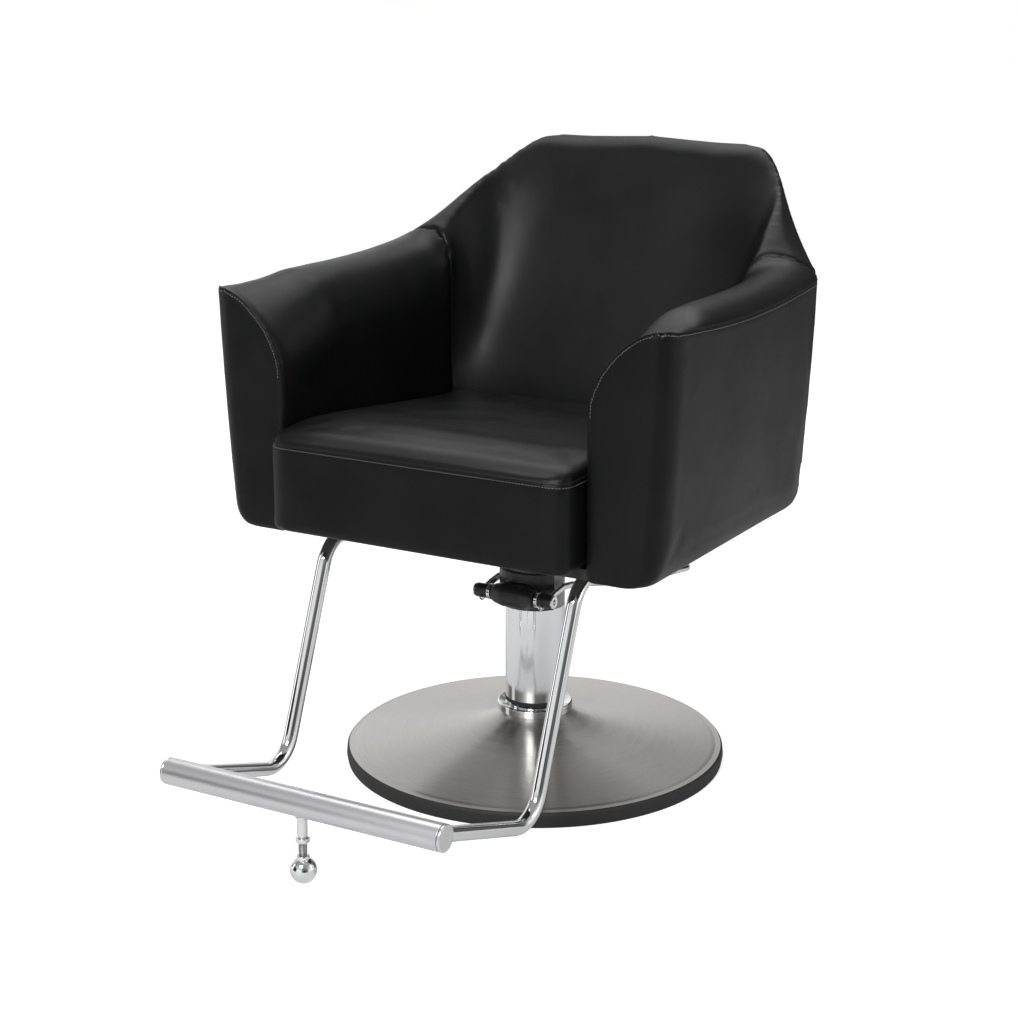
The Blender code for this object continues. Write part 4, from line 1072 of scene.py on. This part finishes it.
class CHAIR_OT_sewing(bpy.types.Operator):
    """Makes the seams' lips and the topstitching on the pads"""

    bl_idname = "chair.sewing"
    bl_label = "Seams and stitches"

    def execute(self, context):
        sewing = context.scene.chair_sewing
        for side, s in SIDES:
            lines = arm_lines(side, s)
            tree = surface_of("arm_pad_" + side)
            run = [p for p in lines["front"] if p.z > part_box("seat_cushion")[1].z - 0.03] + lines["top"][1:]
            run = smooth_path(run, 0.01)
            lip("arm_seam_" + side, tree, run, sewing)
            laid, normals = on_surface(tree, resampled(run, SEAM_STEP), 0.0, 1)
            inside = beside(laid, normals, sewing.inset * -s)
            stitches("arm_stitches_" + side, tree, inside, sewing)
            loop = lines["seam"]
            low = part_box("arm_" + side)[0].z
            start = min(range(len(loop) - 1), key=lambda i: loop[i].z + abs(loop[i].x) * 0.01)
            ring = [p for p in loop[start:-1] + loop[:start + 1] if p.z > low + 0.03]
            lip("back_seam_" + side, tree, ring, sewing, 0.9)
        tree = surface_of("seat_pad")
        lip("seat_seam", tree, seat_line(sewing.seat_seam), sewing)
        stitches("seat_stitches", tree, seat_line(sewing.seat_seam + sewing.inset), sewing)
        tree = surface_of("back_pad")
        for side, s in SIDES:
            lip("back_panel_seam_" + side, tree, back_slope(s), sewing)
        return {"FINISHED"}


class CHAIR_OT_base(bpy.types.Operator):
    """Makes the spun cover, the rubber rim and the collar of the base, and dresses what is inside it"""

    bl_idname = "chair.base"
    bl_label = "Base"

    def execute(self, context):
        outline = profile_of("base_cover")
        top = max(range(len(outline)), key=lambda i: outline[i][1])
        upper = self.down_to_edge(outline[top:] + outline[:top])
        if len(upper) < 5:
            upper = self.down_to_edge([outline[top]] + outline[:top][::-1] + outline[:top:-1])
        smooth = [(p.x, p.z) for p in smooth_path([Vector((r, 0, z)) for r, z in upper], 0.004)]
        under = [(r - 0.0008, z - 0.0015) for r, z in reversed(smooth[:-2:6])]
        skin = smooth + [(r, max(z, upper[-1][1])) for r, z in under]
        piece(spun(skin, FINEST), "base_cover_fine", "spun_stainless", "base",
              ("base_cover",), 60)
        respun("base_rim", "black_rubber", "base", 0.0022, FINEST)
        respun("base_collar", "chrome_plate", "base", 0.0012)
        respun("cylinder_tube", "chrome_plate", "base", 0.0008, 96)
        dress(("base_plate", "cylinder_nut", "cylinder_foot"), "rolled_steel")
        dress(("guide_bush",), "bearing_bronze")
        return {"FINISHED"}

    @staticmethod
    def down_to_edge(outline):
        """The cover's upper surface, from the start of its outline to its widest point."""
        edge = max(range(len(outline)), key=lambda i: outline[i][0])
        return outline[:edge + 1]


class CHAIR_OT_column(bpy.types.Operator):
    """Makes the column's sleeve, shroud and cast pump head, and dresses the lifting ram"""

    bl_idname = "chair.column"
    bl_label = "Column"

    def execute(self, context):
        respun("column_sleeve", "chrome_plate", "chair", 0.0007)
        respun("column_shroud", "shroud_paint", "chair", 0.0007)
        casting = remeshed(merged("pump_head"), 0.0016)
        relaxed(casting, np.ones(len(casting.vertices)), 5)
        piece(casting, "pump_head_cast", "cast_black", "chair", ("pump_head",), 180)
        low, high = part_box("column_sleeve")
        outer, inner = high.x + 0.0004, high.x - 0.0015
        band = [(outer, low.z + 0.0065), (outer, low.z + 0.0005),
                (inner, low.z + 0.0005), (inner, low.z + 0.0065)]
        piece(turned(band, 0.0003, FINE), "sleeve_wiper", "black_rubber", "chair")
        dress(("ram_rod",), "chrome_plate")
        dress(("ram_piston", "swivel_hub"), "bearing_bronze")
        dress(("swivel_race",), "rolled_steel")
        return {"FINISHED"}


class CHAIR_OT_lever(bpy.types.Operator):
    """Makes the pump lever: crossbar, hubs, screws and the bail"""

    bl_idname = "chair.lever"
    bl_label = "Pump lever"

    def execute(self, context):
        low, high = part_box("lever_shaft")
        axis, radius, half = (low + high) / 2, (high.z - low.z) / 2, (high.x - low.x) / 2
        hole = radius * 0.50
        shaft = [(0, half - 0.007), (hole, half - 0.006), (hole, half), (radius, half), (radius, -half),
                 (hole, -half), (hole, -half + 0.006), (0, -half + 0.007)]
        piece(turned(shaft, 0.0007, SMALL, along_x(axis), False), "lever_shaft_fine",
              "chrome_plate", "lever", ("lever_shaft",))
        for side, s in SIDES:
            low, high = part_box("lever_hub_" + side)
            centre, outer, wide = (low + high) / 2, (high.z - low.z) / 2, (high.x - low.x) / 2
            bore = radius + SHAFT_PLAY
            hub = [(outer * 0.93, wide), (outer, wide * 0.86), (outer, -wide * 0.55),
                   (outer * 0.90, -wide * 0.78), (outer * 0.90, -wide), (bore, -wide), (bore, wide)]
            piece(turned(hub, 0.0009, SMALL, along_x(centre, s)), "lever_hub_fine_" + side,
                  "cast_black", "lever", ("lever_hub_" + side,))
            bands = (("lever_end_ring_", centre.x + s * (wide + 0.0010),
                      radius + 0.0014, radius - 0.0006, 0.0016, 0.0006),
                     ("lever_collar_", centre.x - s * (wide - 0.0045),
                      outer + 0.0012, outer - 0.0010, 0.0028, 0.0008))
            for label, x, outside, inside, reach, bend in bands:
                band = [(outside, reach), (outside, -reach), (inside, -reach), (inside, reach)]
                place = along_x(Vector((x, axis.y, axis.z)), s)
                piece(turned(band, bend, SMALL, place), label + side, "chrome_plate", "lever")
        dress(("lever_screw_left", "lever_screw_right"), "chrome_plate")
        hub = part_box("lever_hub_left")
        start = Vector(((hub[0].x + hub[1].x) / 2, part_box("lever_bail")[0].y, (hub[0].z + hub[1].z) / 2))
        path = smooth_path(rounds_of("lever_bail", start), SWEEP_STEP)
        piece(swept(path, BAIL_RADIUS, 24), "lever_bail_fine", "chrome_plate", "lever",
              ("lever_bail",), 60)
        return {"FINISHED"}


class CHAIR_OT_footrest(bpy.types.Operator):
    """Makes the footrest's tubes, bar and caps, and the foot under it"""

    bl_idname = "chair.footrest"
    bl_label = "Footrest"

    def execute(self, context):
        low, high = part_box("footrest_bar")
        centre, radius, half = (low + high) / 2, (high.z - low.z) / 2, (high.x - low.x) / 2
        bar = [(0, half), (radius, half), (radius, -half), (0, -half)]
        piece(turned(bar, 0.0006, 96, along_x(centre), False), "footrest_bar_fine", "satin_aluminium",
              "chair", ("footrest_bar",))
        for side, s in SIDES:
            low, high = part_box("bar_cap_" + side)
            thick, rim = high.x - low.x, radius * 0.985
            cap = [(0, thick), (rim, thick), (rim, 0), (0, 0)]
            at = Vector((low.x if s > 0 else high.x, centre.y, centre.z))
            piece(turned(cap, 0.0016, 96, along_x(at, s), False), "bar_cap_fine_" + side,
                  "turned_aluminium", "chair", ("bar_cap_" + side,))
            low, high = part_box("footrest_tube_" + side)
            start = Vector((high.x if s > 0 else low.x, high.y, high.z - TUBE_RADIUS))
            rounds = rounds_of("footrest_tube_" + side, start)
            near = [p for p in rounds if p.y > centre.y + 0.045]
            end = Vector((rounds[-1].x, centre.y, centre.z))
            into = (end - near[-1]).normalized()
            near.append(near[-1].lerp(end, 0.98))
            piece(swept(smooth_path(near, SWEEP_STEP), TUBE_RADIUS, 32), "footrest_tube_fine_" + side,
                  "chrome_plate", "chair", ("footrest_tube_" + side,), 60)
            weld = [(0.0121, -0.0020), (0.0117, 0.0008), (0.0110, 0.0016), (0.0108, -0.0035)]
            at = near[-1] - into * (radius + 0.0004)
            turn = (-into).to_track_quat("Z", "Y").to_matrix().to_4x4()
            piece(turned(weld, 0.0008, 48, Matrix.Translation(at) @ turn), "tube_weld_" + side,
                  "chrome_plate", "chair", (), 60)
        self.foot(centre, radius)
        return {"FINISHED"}

    def foot(self, centre, bar_radius):
        """The socket, nut, threaded stem and ball under the bar's middle."""
        low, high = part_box("foot_socket")
        wide = (high.x - low.x) / 2
        top = centre.z - bar_radius * 0.90
        waist = wide - 0.0022
        socket = [(wide, top), (wide, top - 0.003), (waist, top - 0.0055), (waist, low.z + 0.002),
                  (wide - 0.0034, low.z), (0.0066, low.z), (0.0066, top)]
        at = Matrix.Translation((centre.x, centre.y, 0))
        piece(turned(socket, 0.0008, SMALL, at), "foot_socket_fine", "chrome_plate",
              "chair", ("foot_socket",))
        low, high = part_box("foot_nut")
        nut = bmesh.new()
        bmesh.ops.create_cone(nut, cap_ends=True, segments=6, radius1=(high.x - low.x) / 2,
                              radius2=(high.x - low.x) / 2, depth=high.z - low.z)
        bmesh.ops.bevel(nut, geom=nut.edges[:], offset=0.0006, offset_type="OFFSET", affect="EDGES",
                        segments=2, profile=0.5, material=-1)
        bmesh.ops.translate(nut, vec=(centre.x, centre.y, (low.z + high.z) / 2), verts=nut.verts)
        piece(nut, "foot_nut_fine", "chrome_plate", "chair", ("foot_nut",))
        low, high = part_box("foot_stem")
        core, crest, pitch = 0.0051, 0.0059, 0.0013
        outline = [(0, high.z), (core, high.z)]
        z = high.z - pitch
        while z > low.z + 0.004:
            outline += [(core, z), (crest, z - pitch * 0.35), (crest, z - pitch * 0.5),
                        (core, z - pitch * 0.85)]
            z -= pitch
        outline += [(core, low.z), (0, low.z)]
        piece(spun(outline, 40, False, at), "foot_stem_fine", "rolled_steel", "foot",
              ("foot_stem",), 70)
        low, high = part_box("foot_ball")
        ball = bmesh.new()
        bmesh.ops.create_uvsphere(ball, u_segments=64, v_segments=40, radius=(high.z - low.z) / 2)
        bmesh.ops.translate(ball, vec=(low + high) / 2, verts=ball.verts)
        neck = [(0.0085, high.z + 0.0030), (0.0092, high.z - 0.0010), (0.0060, high.z - 0.0030),
                (0.0055, high.z + 0.0030)]
        piece(ball, "foot_ball_fine", "chrome_plate", "foot", ("foot_ball",))
        piece(turned(neck, 0.0008, 48, at), "foot_ball_collar", "chrome_plate", "foot")


class CHAIR_OT_underframe(bpy.types.Operator):
    """Dresses the seat deck, the crossbars, the seat plate and the footrest's clamps"""

    bl_idname = "chair.underframe"
    bl_label = "Underframe"

    def execute(self, context):
        dress(("arm_core_left", "arm_core_right", "back_core"), "birch_plywood")
        dress(("seat_deck",), "stained_board")
        dress(("seat_plate", "crossbar_front", "crossbar_rear"), "cast_black")
        for name in frame["nodes"]:
            if name.startswith(("tube_clamp", "clamp_screw", "plate_bolt")):
                dress((name,), "rolled_steel")
        return {"FINISHED"}


class CHAIR_OT_stage(bpy.types.Operator):
    """Makes the pale floor, the soft lights and the camera"""

    bl_idname = "chair.stage"
    bl_label = "Studio"

    def execute(self, context):
        stage = context.scene.chair_stage
        floor = bmesh.new()
        bmesh.ops.create_grid(floor, x_segments=1, y_segments=1, size=30.0)
        mesh = bpy.data.meshes.new("floor")
        floor.to_mesh(mesh)
        floor.free()
        ground = bpy.data.objects.new("floor", mesh)
        context.scene.collection.objects.link(ground)
        made, tree, shader, _ = blank("pale_floor", stage.floor, 0.0, 0.75)
        shader.inputs["Emission Color"].default_value = (1, 1, 1, 1)
        seen = node(tree, "LightPath").outputs["Is Camera Ray"]
        tree.links.new(maths(tree, "MULTIPLY", seen, stage.glow), shader.inputs["Emission Strength"])
        mesh.materials.append(made)
        self.sky(context.scene)
        aim = Vector((0, 0.0, 0.55))
        for name, place, size in SOFTBOXES:
            self.softbox(name, place, aim, size, getattr(stage, name))
        for name, place, size in CARDS:
            self.card(name, place, aim, size)
        camera = bpy.data.cameras.new("camera")
        camera.lens = stage.lens
        camera.sensor_width = 36.0
        eye = bpy.data.objects.new("camera", camera)
        eye.location = stage.eye
        eye.rotation_mode = "QUATERNION"
        eye.rotation_quaternion = Vector(stage.sight).to_track_quat("-Z", "Y")
        context.scene.collection.objects.link(eye)
        context.scene.camera = eye
        context.scene.view_settings.view_transform = "Standard"
        return {"FINISHED"}

    def softbox(self, name, place, aim, size, power):
        """A soft rectangle of light that faces a point."""
        light = bpy.data.lights.new(name, "AREA")
        light.shape = "RECTANGLE"
        light.size, light.size_y = size
        light.energy = power
        made = bpy.data.objects.new(name, light)
        made.location = place
        made.rotation_mode = "QUATERNION"
        made.rotation_quaternion = (aim - Vector(place)).to_track_quat("-Z", "Y")
        bpy.context.scene.collection.objects.link(made)

    def card(self, name, place, aim, size):
        """A black card that only shows in reflections, so that chrome has dark lines in it."""
        board = bmesh.new()
        bmesh.ops.create_grid(board, x_segments=1, y_segments=1, size=0.5)
        level = Vector((aim.x, aim.y, place[2]))
        way = (level - Vector(place)).to_track_quat("Z", "Y").to_matrix().to_4x4()
        board.transform(Matrix.Translation(place) @ way @ Matrix.Diagonal((*size, 1, 1)))
        mesh = bpy.data.meshes.new(name)
        board.to_mesh(mesh)
        board.free()
        made = bpy.data.objects.new(name, mesh)
        bpy.context.scene.collection.objects.link(made)
        mesh.materials.append(blank(name + "_black", (0.01, 0.01, 0.01), 0.0, 0.9)[0])
        made.visible_camera = made.visible_diffuse = made.visible_shadow = False

    def sky(self, scene):
        """Soft light from all round, with darker bands that give the chrome its contrast."""
        world = bpy.data.worlds.new("studio")
        world.use_nodes = True
        scene.world = world
        tree = world.node_tree
        ground = tree.nodes["Background"]
        way = tree.nodes.new("ShaderNodeTexCoord").outputs["Generated"]
        split = node(tree, "SeparateXYZ", ((0, way),))
        turn = maths(tree, "ARCTAN2", split.outputs["Y"], split.outputs["X"])
        wave = maths(tree, "SINE", maths(tree, "ADD", maths(tree, "MULTIPLY", turn, 3.0), 0.55))
        bands = ramped(tree, wave, -0.5, 0.25, 0.10, 1.05)
        height = ramped(tree, split.outputs["Z"], 0.15, 0.85, 0.0, 1.0)
        level = node(tree, "Mix", ((0, height), (2, bands), (3, 0.34)), data_type="FLOAT").outputs[0]
        seen = node(tree, "LightPath").outputs["Is Camera Ray"]
        shown = node(tree, "Mix", ((0, seen), (2, level), (3, 1.0)), data_type="FLOAT").outputs[0]
        ground.inputs["Color"].default_value = (1, 1, 1, 1)
        tree.links.new(shown, ground.inputs["Strength"])


class CHAIR_PT_panel(bpy.types.Panel):
    """Lists the chair's pieces and their sizes"""

    bl_label = "Styling chair"
    bl_idname = "CHAIR_PT_panel"
    bl_space_type = "VIEW_3D"
    bl_region_type = "UI"
    bl_category = "Chair"

    def draw(self, context):
        for made in OPERATORS:
            self.layout.operator(made.bl_idname)
        for label in GROUPS:
            box = self.layout.box()
            values = getattr(context.scene, label)
            for key in values.__annotations__:
                box.prop(values, key)


OPERATORS = (CHAIR_OT_pads, CHAIR_OT_sewing, CHAIR_OT_base, CHAIR_OT_column, CHAIR_OT_lever,
             CHAIR_OT_footrest, CHAIR_OT_underframe, CHAIR_OT_stage)
GROUPS = {"chair_leather": LeatherLook, "chair_metal": MetalLook, "chair_pads": PadSizes,
          "chair_sewing": SewingSizes, "chair_stage": StageLook}


def register():
    for made in (*GROUPS.values(), *OPERATORS, CHAIR_PT_panel):
        bpy.utils.register_class(made)
    for label, made in GROUPS.items():
        setattr(bpy.types.Scene, label, bpy.props.PointerProperty(type=made))


def unregister():
    for label in GROUPS:
        delattr(bpy.types.Scene, label)
    for made in (CHAIR_PT_panel, *reversed(OPERATORS), *GROUPS.values()):
        bpy.utils.unregister_class(made)


def main():
    register()
    for step in ("pads", "sewing", "base", "column", "lever", "footrest", "underframe", "stage"):
        getattr(bpy.ops.chair, step)()


if __name__ == "__main__":
    main()
